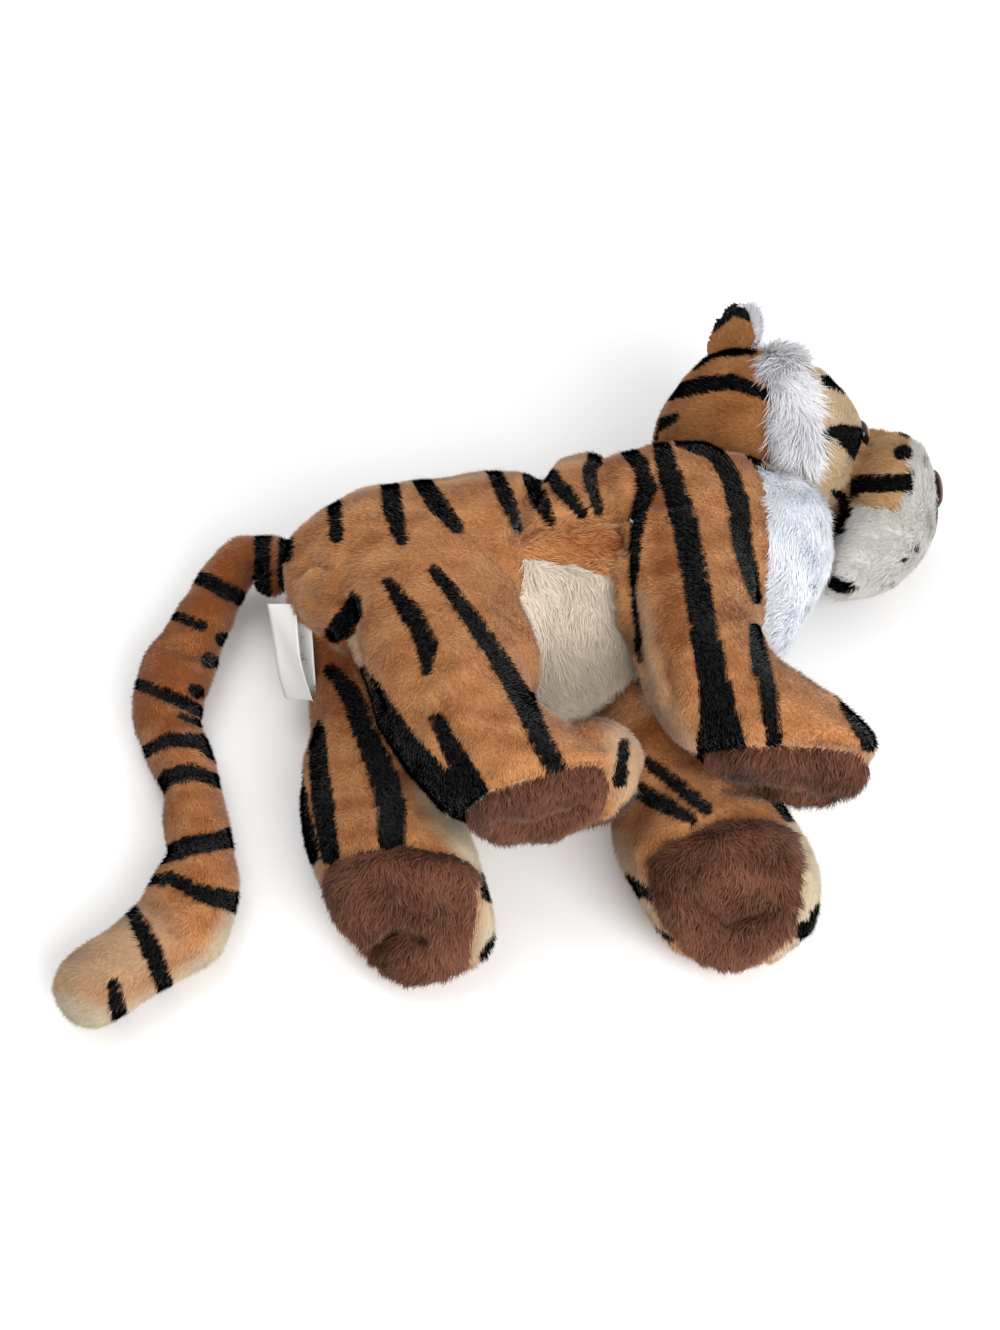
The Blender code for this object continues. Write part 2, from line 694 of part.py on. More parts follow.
def add_head(shapes):
    """Skull in two skins, cheek ruffs, muzzle in two skins, nose, eyes and ears, nodding at the neck."""
    root, floor = shapes["root"], shapes["floor"]
    axes = head_axes()
    forward, up, side = axes
    centre = Vector((HEAD_FORWARD, HEAD_RISE, HEAD_WIDTH / 2))
    ruff_outside = SEAM_GAP + LONG_PILE_BACKING
    forms = skull_form(centre, axes, ruff_outside) + muzzle_form(centre, axes, 0.0)
    lowest = min(point.z for ring in points_of(forms, HEAD_SIDES) for point in ring)
    centre.z -= lowest + FLOOR_FLAT
    neck = Vector((NECK_FORWARD, NECK_RISE, centre.z))
    pivot = empty_at("neck_nod", neck, root)
    cutters = swing_cutters("head_body", shapes["body_cutter"], neck, NOD_DOWN, NOD_UP, root)

    def skull_mesh(name, grow):
        return closed_mesh(name, points_of(skull_form(centre, axes, grow), HEAD_SIDES))

    def muzzle_mesh(name, grow):
        return closed_mesh(name, points_of(muzzle_form(centre, axes, grow), HEAD_SIDES))

    hollow = place("head_hollow_cutter", skull_mesh("head_hollow", -PLUSH), pivot)
    skull_close = place("skull_cutter", skull_mesh("skull_cutter", SEAM_GAP), pivot)
    skull_wide = skull_mesh("skull_wide", SWING_GAP)

    def front_box(name, start):
        reach = forward * HEAD_LENGTH
        middle = centre + forward * start + reach
        return place(name, box_mesh(name, middle, reach, up * HEAD_LENGTH, side * HEAD_LENGTH), pivot)

    skin = place("head_skin", skull_mesh("head_skin", 0.0), pivot, "tan_plush")
    face = place("face_skin", skull_mesh("face_skin", 0.0), pivot, "face_plush")
    filling = place("head_filling", skull_mesh("head_filling", -PLUSH - FILL_GAP), pivot, "fibre_fill")
    shapes.update(face=face, head_filling=filling)
    carve(skin, hollow)
    carve(skin, front_box("face_window_cutter", FACE_SEAM_FORWARD))
    carve(face, hollow)
    carve(face, front_box("face_edge_cutter", FACE_SEAM_FORWARD + SEAM_GAP), "INTERSECT")
    for name, mirror in (("eye_right", 1), ("eye_left", -1)):
        add_eye(name, mirror, centre, axes, pivot, shapes)

    ruffs = []
    for name, mirror in (("cheek_ruff_right", 1), ("cheek_ruff_left", -1)):
        ruff = place(name, skull_mesh(name, ruff_outside), pivot, "white_pile")
        place_forward, place_up = RUFF_PLACE_SHARES
        middle = centre + forward * place_forward * HEAD_LENGTH + up * place_up * HEAD_HEIGHT
        middle += side * mirror * (HEAD_WIDTH - RUFF_DEPTH)
        lean = math.radians(RUFF_LEAN)
        along = forward * math.cos(lean) + up * math.sin(lean)
        rise = up * math.cos(lean) - forward * math.sin(lean)
        box = box_mesh(name, middle, along * RUFF_WIDTH / 2, rise * RUFF_HEIGHT / 2, side * HEAD_WIDTH / 2)
        carve(ruff, skull_close)
        carve(ruff, place(f"{name}_edge_cutter", box, pivot), "INTERSECT")
        ruffs.append(ruff)
    for piece in (skin, face, filling, *ruffs):
        for cutter in cutters:
            carve(piece, cutter)
    carve(ruffs[1], floor)

    muzzle = place("muzzle_skin", muzzle_mesh("muzzle_skin", 0.0), pivot, "white_pile")
    upper = place("upper_muzzle_skin", muzzle_mesh("upper_muzzle_skin", 0.0), pivot, "face_plush")
    stuffing = place("muzzle_filling", muzzle_mesh("muzzle_filling", -PLUSH - FILL_GAP), pivot, "fibre_fill")
    muzzle_hollow = place("muzzle_hollow_cutter", muzzle_mesh("muzzle_hollow", -PLUSH), pivot)
    muzzle_close = place("muzzle_cutter", muzzle_mesh("muzzle_cutter", SEAM_GAP), pivot)
    middle = muzzle_middle(centre, axes)

    def seam_box(name, shrink):
        reach = HEAD_LENGTH
        corner = middle + forward * (MUZZLE_SEAM_FORWARD - shrink) - up * (MUZZLE_SEAM_DROP - shrink)
        box = box_mesh(name, corner + (up - forward) * reach, forward * reach, up * reach, side * reach)
        return place(name, box, pivot)

    carve(muzzle, muzzle_hollow)
    carve(muzzle, seam_box("muzzle_window_cutter", 0.0))
    carve(upper, muzzle_hollow)
    carve(upper, seam_box("muzzle_edge_cutter", SEAM_GAP), "INTERSECT")
    for piece in (muzzle, upper, stuffing):
        carve(piece, skull_close)
    carve(muzzle, floor)

    lift = math.radians(NOSE_LIFT)
    nose_out = forward * math.cos(lift) + up * math.sin(lift)
    nose_up = up * math.cos(lift) - forward * math.sin(lift)
    nose_seat = middle + forward * math.cos(lift) * MUZZLE_LENGTH / 2
    nose_seat += up * math.sin(lift) * MUZZLE_HEIGHT / 2
    half_sizes = (nose_out * NOSE_THICKNESS / 2, nose_up * NOSE_HEIGHT / 2, side * NOSE_WIDTH / 2)
    nose_form = ball(nose_seat, *half_sizes, TAIL_SIDES // 2)
    nose = place("nose", closed_mesh("nose", points_of(nose_form, TAIL_SIDES)), pivot, "nose_satin")
    carve(nose, muzzle_close)

    for name, mirror in (("ear_right", 1), ("ear_left", -1)):
        add_ear(name, mirror, centre, axes, pivot, (skull_close.data, skull_wide), shapes)


def tail_rows():
    """Middle and radius at each row of the tail's line, and the row that each stretch starts at."""
    along, rise, up = TAIL_PLACE_SHARES
    seam = Vector((along * BODY_LENGTH, rise * BODY_DEPTH, up * BODY_WIDTH))
    shares, bends = [TAIL_BURIED_SHARES], []
    for _, *stretch in TAIL_STRETCH_SHARES:
        bends.append(len(shares))
        shares += stretch
    rows = [(seam + Vector(place_in) * TAIL_REACH, wide * TAIL_DIAMETER / 2) for *place_in, wide in shares]
    return rows, bends


def tail_form(rows, first, last, inset, round_start, stop_short):
    """Rings of one stretch of the tail, with a round start about its pivot."""
    form = []

    def frame_at(index):
        heading = rows[min(index + 1, len(rows) - 1)][0] - rows[max(index - 1, 0)][0]
        heading.normalize()
        across = Vector((heading.y, -heading.x, 0)).normalized()
        return heading, across, heading.cross(across)

    def add(centre, radius, frame):
        form.append((centre, frame[1] * radius, frame[2] * radius))

    if round_start:
        start, radius = rows[first]
        frame = frame_at(first)
        ball_radius = radius * TAIL_BALL_SHARE - inset
        for step in range(1, ROUND_STEPS + 1):
            angle = math.pi / 2 * step / ROUND_STEPS
            add(start - frame[0] * ball_radius * math.cos(angle), ball_radius * math.sin(angle), frame)
        add(start + frame[0] * radius * TAIL_SHOULDER_SHARE, radius - inset, frame)
    for index in range(first + round_start, last):
        add(rows[index][0], rows[index][1] - inset, frame_at(index))
    end, radius = rows[last]
    frame = frame_at(last)
    back = frame[0] * (radius * TAIL_SHORT_SHARE if stop_short else inset)
    add(end - back, radius - inset, frame)
    return form


def add_tail(shapes):
    """A chain of four stuffed stretches, each turning about a rounded end inside the one before."""
    rows, bends = tail_rows()
    parent = shapes["root"]
    lift = min(centre.z - radius for centre, radius in rows[bends[1]:]) + FLOOR_FLAT
    for centre, radius in rows[bends[0] + 1:]:
        centre.z -= lift
    bends.append(len(rows) - 1)
    names = [name for name, *_ in TAIL_STRETCH_SHARES]
    for stretch, name in enumerate(names):
        hinge = rows[bends[stretch]][0]
        pivot = empty_at(f"{name}_bend", hinge, parent)
        is_root, is_tip = stretch == 0, name == names[-1]
        first = 0 if is_root else bends[stretch]
        last = bends[stretch + 1]

        def stretch_mesh(kind, inset, over_start=0.0, over_end=0.0):
            form = tail_form(rows, first, last, inset, not is_root, not is_tip)
            form = run_through(form, over_start, over_end)
            return closed_mesh(f"{name}_{kind}", points_of(form, TAIL_SIDES))

        skin = place(f"{name}_skin", stretch_mesh("skin", 0.0), pivot, "tan_plush")
        filling = place(f"{name}_filling", stretch_mesh("filling", PLUSH + FILL_GAP), pivot, "fibre_fill")
        open_start = OVERRUN if is_tip else 0.0
        open_end = 0.0 if is_tip else OVERRUN
        hollow = stretch_mesh("hollow", PLUSH, open_start, open_end)
        carve(skin, place(f"{name}_hollow_cutter", hollow, pivot))
        if is_root:
            body = shapes["body_cutter"]
            for cutter in swing_cutters(f"{name}_body", body, hinge, *TAIL_SWINGS[0], shapes["root"]):
                carve(skin, cutter)
                carve(filling, cutter)
        if not is_tip:
            socket, radius = rows[last]
            ahead = (rows[last + 1][0] - rows[last - 1][0]).normalized()
            side = ahead.orthogonal().normalized()
            room = (radius * TAIL_BALL_SHARE + SEAM_GAP) / math.cos(math.pi / TAIL_SIDES) ** 2
            bowl = ball(socket, ahead * room, side * room, ahead.cross(side) * room, TAIL_SIDES // 2)
            cutter = place(f"{name}_socket_cutter", closed_mesh("socket", points_of(bowl, TAIL_SIDES)), pivot)
            carve(skin, cutter)
            carve(filling, cutter)
        if not is_root:
            carve(skin, shapes["floor"])
        parent = pivot


def add_label(shapes):
    """The bare care label, sewn in under the tail by one short edge."""
    along, rise, up = LABEL_PLACE_SHARES
    edge = Vector((along * BODY_LENGTH, rise * BODY_DEPTH, up * BODY_WIDTH))
    down = Vector(LABEL_HANG_SHARES).normalized()
    across = Vector((1, 0, 0))
    across = (across - down * across.dot(down)).normalized()
    normal = across.cross(down)
    half = (down * LABEL_LENGTH / 2, across * LABEL_WIDTH / 2, normal * LABEL_THICKNESS / 2)
    label = place("care_label", box_mesh("care_label", edge + half[0], *half), shapes["root"], "label_satin")
    carve(label, place("label_body_cutter", shapes["body_cutter"][0], shapes["root"]))


def centre_on_origin(root):
    """Moves the whole toy so that the middle of its outline stands over the origin."""
    bpy.context.view_layer.update()
    graph = bpy.context.evaluated_depsgraph_get()
    low = Vector((math.inf, math.inf, math.inf))
    high = -low
    for obj in bpy.context.scene.objects:
        if obj.type != "MESH" or obj.hide_render:
            continue
        for vertex in obj.evaluated_get(graph).data.vertices:
            point = obj.matrix_world @ vertex.co
            low = Vector(map(min, low, point))
            high = Vector(map(max, high, point))
    middle = (low + high) / 2
    root.location = (-middle.x, -middle.y, 0)
    bpy.context.view_layer.update()


def main():
    clear_scene()
    root = empty_at("tiger_root", (0, 0, 0))
    reach = BODY_LENGTH + LEG_REACH
    edges = (Vector((reach, 0, 0)), Vector((0, reach, 0)), Vector((0, 0, reach)))
    floor_mesh = box_mesh("floor_cutter", -edges[2], *edges)
    shapes = {"root": root, "floor": place("floor_cutter", floor_mesh, root)}
    add_body(shapes)
    for leg in LEGS:
        add_leg(*leg, shapes)
    add_head(shapes)
    add_tail(shapes)
    add_label(shapes)
    centre_on_origin(root)
    for obj in bpy.context.scene.objects:
        if obj.type == "EMPTY":
            place_in_mm = obj.matrix_world.translation / MM
            print("pivot", obj.name, tuple(round(value, 3) for value in place_in_mm), "mm")


main()
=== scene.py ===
"""A floppy plush tiger on its side: sewn covers, their pile, the stuffing inside and the fittings.

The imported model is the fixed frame. Covers are smooth surfaces over its solids, cut into the panels
that the seams of the real toy give, and every panel grows its own pile of separate tapered strands.
Lengths are in metres, and the places of markings are in pixels of the 1000 by 1330 frame.
"""

import itertools
import json
import math

import bmesh
import bpy
import numpy as np
from bpy.props import FloatProperty, IntProperty, PointerProperty, StringProperty
from mathutils import Matrix, Vector
from mathutils.bvhtree import BVHTree
from mathutils.kdtree import KDTree


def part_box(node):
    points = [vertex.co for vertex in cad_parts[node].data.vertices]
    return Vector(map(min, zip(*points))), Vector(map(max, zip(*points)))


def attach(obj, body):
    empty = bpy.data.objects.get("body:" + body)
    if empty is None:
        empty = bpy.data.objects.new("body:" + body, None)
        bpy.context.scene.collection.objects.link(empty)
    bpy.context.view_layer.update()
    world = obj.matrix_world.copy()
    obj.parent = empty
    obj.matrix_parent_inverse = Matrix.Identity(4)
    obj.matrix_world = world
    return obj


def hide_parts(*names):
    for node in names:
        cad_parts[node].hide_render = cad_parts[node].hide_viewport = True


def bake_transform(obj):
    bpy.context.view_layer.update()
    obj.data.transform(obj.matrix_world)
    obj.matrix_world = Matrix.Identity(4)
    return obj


bl_info = {
    "name": "Plush tiger",
    "version": (1, 0, 0),
    "blender": (4, 5, 0),
    "location": "3D View > Sidebar > Plush tiger",
    "description": "Sews, stuffs and furs a floppy plush tiger over its packed model",
    "category": "Object",
}

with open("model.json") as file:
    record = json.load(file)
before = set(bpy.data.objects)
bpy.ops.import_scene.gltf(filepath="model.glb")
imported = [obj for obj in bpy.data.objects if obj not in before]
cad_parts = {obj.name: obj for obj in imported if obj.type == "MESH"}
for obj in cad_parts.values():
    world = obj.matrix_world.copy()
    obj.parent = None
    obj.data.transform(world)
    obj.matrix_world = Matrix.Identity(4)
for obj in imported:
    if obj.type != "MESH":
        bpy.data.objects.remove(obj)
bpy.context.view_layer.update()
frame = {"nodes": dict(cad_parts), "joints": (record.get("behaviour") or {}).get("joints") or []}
MM = 0.001
JOINTS = {joint["name"]: np.array(joint["pos_m"]) for joint in frame["joints"]}

# The camera's frame: its middle on the floor, how far off it stands and its focal length in pixels
FRAME_MIDDLE = JOINTS["hind_leg_right_swing"] * (1, 1, 0) - np.array((-35.36, 3.0, 0.0)) * MM
FRAME_PIXELS = (1000, 1330)
FOCAL_PIXELS = 1778
PIXELS_PER_MM = 2.3
# How uneven a printed stripe's edge is, in pixels
STRIPE_FUZZ = 0.4

# The head's own axes, repeated from the CAD source: its pitch and turn, and the steps from the neck
HEAD_PITCH, HEAD_TURN = math.radians(-22), math.radians(10)
NECK_TO_SKULL = np.array((9.0, 42.0, 0.0)) * MM
SKULL_HALF = np.array((51.0, 41.5, 48.0)) * MM
MUZZLE_STEP = np.array((69.0, -10.0, 0.0)) * MM
MUZZLE_HALF = np.array((25.0, 37.0, 39.0)) * MM
EYE_RISE, EYE_ASIDE = 15 * MM, 17 * MM
NOSE_LIFT = math.radians(48)

LEGS = ("front_leg_right", "front_leg_left", "hind_leg_right", "hind_leg_left")
TAIL = ("tail_root", "tail_upper", "tail_lower", "tail_tip")

# Stripes as lines of (across, down, width) in pixels, by the covers that they lie on
NEAR_SIDE = (
    ((545, 470, 12), (563, 492, 15), (581, 513, 10)),
    ((598, 450, 15), (588, 476, 13), (598, 513, 9)),
    (
        (622, 446, 12), (640, 466, 16), (647, 490, 17), (638, 514, 15), (636, 545, 9),
        (634, 588, 6), (641, 661, 5),
    ),
    (
        (661, 446, 16), (671, 482, 23), (682, 516, 25), (691, 557, 25), (698, 599, 25),
        (705, 637, 27), (713, 678, 30), (719, 712, 34), (722, 745, 48),
    ),
    (
        (680, 443, 11), (713, 453, 16), (729, 476, 19), (738, 507, 21), (742, 546, 18),
        (750, 577, 15), (755, 600, 8),
    ),
    ((749, 456, 6), (766, 476, 8), (777, 507, 6)),
    ((754, 630, 10), (760, 662, 16), (769, 697, 18), (775, 742, 15)),
    ((832, 686, 8), (845, 700, 16), (858, 718, 20), (868, 744, 16)),
    ((335, 492, 11), (336, 537, 14)),
    ((389, 476, 16), (392, 510, 20), (401, 540, 12)),
    ((415, 474, 14), (436, 504, 20), (456, 528, 12)),
    ((489, 464, 12), (506, 499, 16), (517, 528, 9)),
    ((524, 461, 13), (536, 493, 18), (549, 521, 10)),
    ((388, 584, 11), (412, 616, 20), (427, 645, 20), (427, 670, 11)),
    ((433, 571, 11), (471, 619, 16), (500, 663, 18), (524, 704, 20), (544, 748, 21), (556, 771, 18)),
    ((364, 676, 16), (380, 712, 30), (404, 750, 34), (434, 784, 38), (474, 806, 34)),
    ((438, 722, 15), (450, 745, 19), (464, 772, 22), (478, 792, 22)),
    ((352, 592), (362, 598), (364, 618), (352, 634), (338, 642), (322, 638), (330, 622), (342, 606)),
    ((624, 745, 9), (619, 781, 12)),
    ((289, 522, 11), (288, 558, 10)),
)
FAR_HIND_LEG = (
    ((299, 746, 8), (300, 792, 12), (314, 858, 12)),
    ((319, 726, 10), (319, 760, 17), (323, 800, 20), (331, 856, 18)),
    ((331, 671, 13), (350, 694, 19), (363, 728, 22), (380, 768, 27), (391, 803, 28), (392, 840, 28)),
    ((487, 853, 9), (487, 895, 13)),
    ((464, 976, 10), (486, 958, 13), (498, 938, 10)),
    ((420, 690, 18), (450, 760, 20), (462, 800, 14)),
)
FAR_FRONT_LEG = (
    ((648, 764, 9), (680, 788, 13), (706, 810, 12)),
    ((640, 792, 17), (665, 806, 16), (692, 820, 10)),
    ((734, 784, 4), (755, 788, 7), (771, 797, 9), (788, 818, 10)),
    ((628, 880, 10), (640, 890, 12), (654, 896, 9)),
    ((656, 930, 7), (672, 942, 10)),
    ((798, 933, 11), (812, 924, 14), (824, 906, 11)),
    ((690, 720, 18), (730, 760, 20), (760, 790, 12)),
)
TAIL_BANDS = (
    ((263, 524, 15), (262, 590, 16)),
    ((285, 522, 11), (285, 585, 13)),
    ((190, 574, 11), (215, 586, 15), (247, 602, 14)),
    ((162, 613, 8), (202, 626, 9)),
    ((126, 680, 10), (177, 700, 13), (205, 716, 10)),
    ((143, 754, 10), (170, 740, 13), (198, 742, 13), (221, 763, 10)),
    ((153, 802, 10), (170, 777, 15), (191, 772, 15), (219, 783, 11)),
    ((157, 860, 14), (188, 847, 18), (241, 836, 18)),
    ((140, 884, 7), (170, 879, 12), (198, 893, 17), (244, 905, 21)),
    ((132, 912, 12), (149, 945, 18), (166, 992, 16)),
    ((113, 986, 12), (119, 1022, 16)),
    ((222, 640, 13), (224, 641, 13)),
    ((208, 661, 13), (210, 662, 13)),
    ((194, 691, 12), (196, 692, 12)),
    ((180, 716, 5), (208, 728, 6)),
)
# Seams of the body as lines of (across, down), level or upright
SEAMS = {
    "hind": ((543, 440), (543, 468), (530, 500), (519, 532), (524, 565), (525, 700), (525, 900)),
    "front": ((600, 420), (610, 482), (618, 513), (630, 588), (640, 661), (700, 745), (700, 900)),
    "saddle": ((500, 536), (519, 533), (626, 513), (660, 508)),
    "belly": ((500, 548), (528, 555), (578, 563), (615, 577), (650, 596)),
}

# Outlines of the soles, where the camera sees them
SOLES = {
    "hind_leg_right": (
        (460, 822), (492, 795), (583, 766), (609, 768), (606, 812), (577, 840), (524, 860), (480, 855)
    ),
    "front_leg_right": (
        (694, 757), (747, 751), (803, 751), (862, 758), (880, 772), (880, 800), (842, 828), (700, 800)
    ),
    "hind_leg_left": (
        (327, 862), (364, 846), (412, 843), (454, 851), (480, 869), (478, 917), (462, 978),
        (412, 998), (371, 985), (335, 955), (318, 905),
    ),
    "front_leg_left": (
        (645, 858), (657, 846), (693, 829), (730, 816), (766, 817), (793, 827), (805, 858),
        (802, 894), (793, 940), (754, 968), (730, 982), (692, 966), (668, 936), (650, 897),
    ),
}

# Where the far hind leg shows behind the near one, above its own knee
REAR_WINDOW = ((270, 630), (368, 640), (384, 760), (270, 760))

# Outlines of the head's white cheek and of the muzzle's tan top
HEAD_PANELS = {
    "ruff": (
        (756, 326), (764, 360), (772, 398), (772, 430), (776, 452), (786, 468), (812, 470),
        (822, 450), (816, 420), (810, 393), (803, 366), (790, 343), (772, 322),
    ),
    "bridge": (
        (865, 400), (878, 400), (902, 410), (914, 430), (912, 458), (910, 492), (901, 512),
        (870, 507), (852, 502), (852, 472), (862, 448), (866, 425),
    ),
}

# Where the cloth is painted paler, above zero, or darker, below: how far, then the line.
# The pale bands are partly a cream print and partly painted highlight along edges and on the sides that
# face the key light; the dark ones are partly a brown overspray and partly painted shade in folds, under
# the tail's root and along its upper side
ZONES = {
    # Near side: paler along edges and the back, partly painted highlight; darker on the flank under the
    # saddle's fold, painted shade, and beside the front leg's long stripe, a brown overspray
    "near": (
        (0.5, (878, 735, 20), (888, 790, 20)),
        (0.4, (622, 735, 24), (634, 790, 24)),
        (0.3, (640, 600, 12), (652, 680, 16), (682, 740, 16)),
        (0.5, (351, 632, 5), (366, 684, 6)),
        (0.35, (305, 502, 18), (380, 478, 15), (520, 464, 14), (620, 446, 14)),
        (-1.0, (322, 656, 26), (338, 690, 24)),
        (-0.3, (560, 548, 24), (610, 533, 24)),
        (-0.6, (655, 500, 14), (667, 560, 18), (676, 640, 16)),
        (-0.4, (600, 480, 12), (640, 470, 12)),
    ),
    # Far hind leg: its side towards the key light paler, partly cream print and partly painted highlight
    "hind": (
        (0.95, (418, 740, 14), (440, 790, 28), (472, 832, 32), (505, 900, 28), (492, 965, 28)),
        (0.5, (306, 870, 18), (336, 968, 18)),
        (-1.0, (316, 656, 34), (332, 695, 32)),
    ),
    # Far front leg: its side towards the key light paler, partly cream print and partly painted highlight
    "front": (
        (0.9, (802, 835, 24), (822, 890, 30), (806, 950, 30), (740, 990, 24)),
        (0.5, (612, 850, 22), (655, 940, 20)),
        (-0.4, (640, 730, 30), (700, 740, 30)),
    ),
    # Tail: its tip paler, partly painted highlight; its root and upper side darker, painted shade
    "tail": (
        (0.9, (58, 1020, 40), (112, 1040, 38), (165, 1010, 32), (222, 965, 28), (246, 900, 16)),
        (0.4, (62, 960, 60), (125, 940, 60)),
        (-0.8, (268, 590, 22), (290, 590, 20)),
        (-0.8, (250, 560, 50), (190, 610, 60), (165, 700, 50)),
        (-0.3, (180, 770, 50), (195, 860, 50)),
        (-0.6, (152, 950, 9), (142, 925, 9)),
        (-0.4, (160, 850, 10), (180, 846, 10)),
    ),
}

# Shallow creases of the covers, as lines of (across, down)
CREASES = (
    ((300, 590), (318, 600), (345, 604), (356, 626)),
    ((322, 634), (338, 664), (364, 694)),
    ((438, 700), (462, 748), (470, 786)),
    ((372, 948), (398, 930), (420, 938)),
    ((168, 642), (193, 655), (216, 650)),
    ((163, 694), (188, 702), (216, 694)),
    ((596, 470), (603, 500), (612, 520)),
    ((634, 480), (632, 520), (628, 540)),
    ((655, 640), (672, 700)),
)

# Deep folds, where one part of the cover meets another
FOLDS = (
    ((296, 575), (309, 561), (324, 567)),
    ((517, 534), (560, 526), (600, 519), (624, 514)),
    ((541, 466), (531, 500), (521, 530)),
    ((612, 516), (624, 556), (634, 620), (642, 690)),
    ((346, 606), (352, 640), (364, 680), (378, 708)),
    ((500, 822), (533, 825), (585, 806)),
    ((725, 785), (777, 790), (840, 800)),
    ((376, 946), (398, 930), (420, 938)),
    ((690, 900), (728, 925), (765, 912)),
    ((120, 890), (150, 902), (180, 930)),
    ((252, 566), (262, 576), (276, 574)),
)

# Pulls: a place in pixels, its height (none: on the surface), the reach, and the move, in mm
BODY_PULLS = (
    (300, 510, 79, 34, 0, -2, -1),
    (345, 486, 84, 36, 0, -1, -1),
    (420, 470, 88, 36, 0, -3, -2),
    (500, 464, 88, 36, 0, -2, -1),
    (286, 552, 52, 24, 4, 0, 0),
    (305, 718, 34, 20, 5, 0, 0),
    (294, 790, 28, 32, 3, 0, 0),
    (302, 865, 25, 36, 5, 0, 0),
    (322, 925, 20, 40, 5, 1, 0),
    (350, 975, 12, 30, 4, 4, 0),
    (486, 965, 12, 28, 3, -2, 0),
    (502, 885, 22, 34, -2, 0, 0),
    (545, 835, 50, 38, 0, -6, -3),
    (868, 705, 88, 44, 6, 5, 0),
    (835, 685, 88, 36, 1, 3, 1),
    (884, 740, 82, 22, -2, 0, 0),
    (880, 788, 80, 26, -2, 0, 0),
    (836, 820, 66, 28, 0, -6, 0),
    (572, 690, None, 36, 0, -7, -4),
    (835, 805, 50, 38, 0, -6, -3),
    (606, 846, 22, 20, -3, 0, 0),
    (626, 880, 18, 34, 4, 0, 0),
    (668, 955, 12, 30, 2, 1, 0),
    (816, 850, 34, 34, 3, 1, 0),
    (806, 960, 16, 30, 2, -1, 0),
    (778, 975, 10, 24, -1, 1, 0),
    (812, 622, 38, 32, -4, 2, 0),
    (613, 484, None, 16, 0, 2, 7),
)

TAIL_PULLS = (
    (120, 1010, 15, 46, -2, 5, 0),
    (56, 985, 18, 32, -3, 0, 0),
    (72, 1032, 9, 30, 0, -2, 0),
    (158, 1010, 8, 28, -1, 4, 0),
    (222, 942, 12, 30, 3, -1, 0),
    (256, 526, 48, 28, 0, -5, -3),
    (172, 598, 24, 34, 3, -2, 0),
    (200, 545, 26, 32, 3, -4, 0),
    (138, 640, 22, 32, -1, 0, 0),
    (138, 768, 20, 30, 5, 0, 0),
    (228, 655, 10, 26, -2, 0, 0),
    (236, 790, 14, 28, -2, 0, 0),
    (142, 820, 20, 30, 3, 0, 0),
    (244, 838, 12, 34, -3, 0, 0),
)

HEAD_PULLS = (
    (652, 400, 60, 36, 3.5, -1, -1),
    (682, 368, 74, 34, 2, -3, -2),
    (765, 330, 94, 32, 0, -3, -3),
    (842, 380, 82, 38, -1, -2, -1),
    (885, 424, 64, 22, 0, 3, 2),
    (950, 478, 58, 44, -9, 0, 0),
    (930, 570, 26, 30, -3, 1, 0),
)

# The head's own stripes and outlined patches, and those of the muzzle
HEAD_STRIPES = (
    ((694, 368, 6), (715, 354, 9), (753, 352, 8)),
    ((664, 398, 10), (702, 385, 15), (733, 382, 15), (766, 395, 10)),
    ((637, 443, 7), (659, 426, 10), (676, 417, 6)),
    ((819, 375), (838, 377), (848, 393), (846, 397), (834, 391), (819, 385)),
    (
        (819, 432), (830, 426), (842, 424), (860, 426), (868, 436), (864, 446), (855, 464),
        (842, 447), (836, 441), (822, 438),
    ),
    ((834, 492, 5), (841, 496, 10), (847, 512, 10), (842, 530, 8)),
)
MUZZLE_MARKS = (
    ((850, 477), (912, 473), (912, 492), (862, 493), (850, 502)),
    ((901, 453, 14), (903, 453, 14)),
    ((902, 433, 7), (907, 435, 8)),
    ((834, 492, 5), (841, 496, 10), (847, 512, 10), (842, 530, 8)),
)
# Printed whisker dots on the muzzle, and the black patch under the chin
WHISKERS, WHISKER_RADIUS = ((916, 546), (902, 561)), 1.7 * MM
CHIN, CHIN_RADIUS = (835, 590, 35), 9.5 * MM

EAR_STRIPES = (((713, 328, 7), (733, 309, 10), (752, 317, 8)),)


class TigerPile(bpy.types.PropertyGroup):
    short: FloatProperty(
        name="Short pile", description="Length of the striped plush's pile", default=2.7 * MM, unit="LENGTH"
    )
    sole: FloatProperty(
        name="Sole pile",
        description="Length of the combed pile on the soles",
        default=5.0 * MM,
        unit="LENGTH",
    )
    belly: FloatProperty(
        name="Belly pile",
        description="Length of the white pile on belly and bib",
        default=8.0 * MM,
        unit="LENGTH",
    )
    ruff: FloatProperty(
        name="Ruff pile",
        description="Length of the white pile on the cheeks",
        default=10.0 * MM,
        unit="LENGTH",
    )
    muzzle: FloatProperty(
        name="Muzzle pile",
        description="Length of the white pile on the muzzle",
        default=3.8 * MM,
        unit="LENGTH",
    )
    strand: FloatProperty(
        name="Strand",
        description="Thickness of one drawn strand at its root",
        default=0.42 * MM,
        unit="LENGTH",
    )
    cloth: FloatProperty(
        name="Backing",
        description="Thickness of the plush's knitted backing",
        default=1.2 * MM,
        unit="LENGTH",
    )
    seam: FloatProperty(
        name="Seam depth", description="How far a seam pulls the cover in", default=2.4 * MM, unit="LENGTH"
    )
    fullness: FloatProperty(
        name="Fullness", description="Share of the full number of strands", default=1.0, min=0.05, max=2.0
    )
    seed: IntProperty(name="Seed", description="Where the strands' small differences start", default=7)


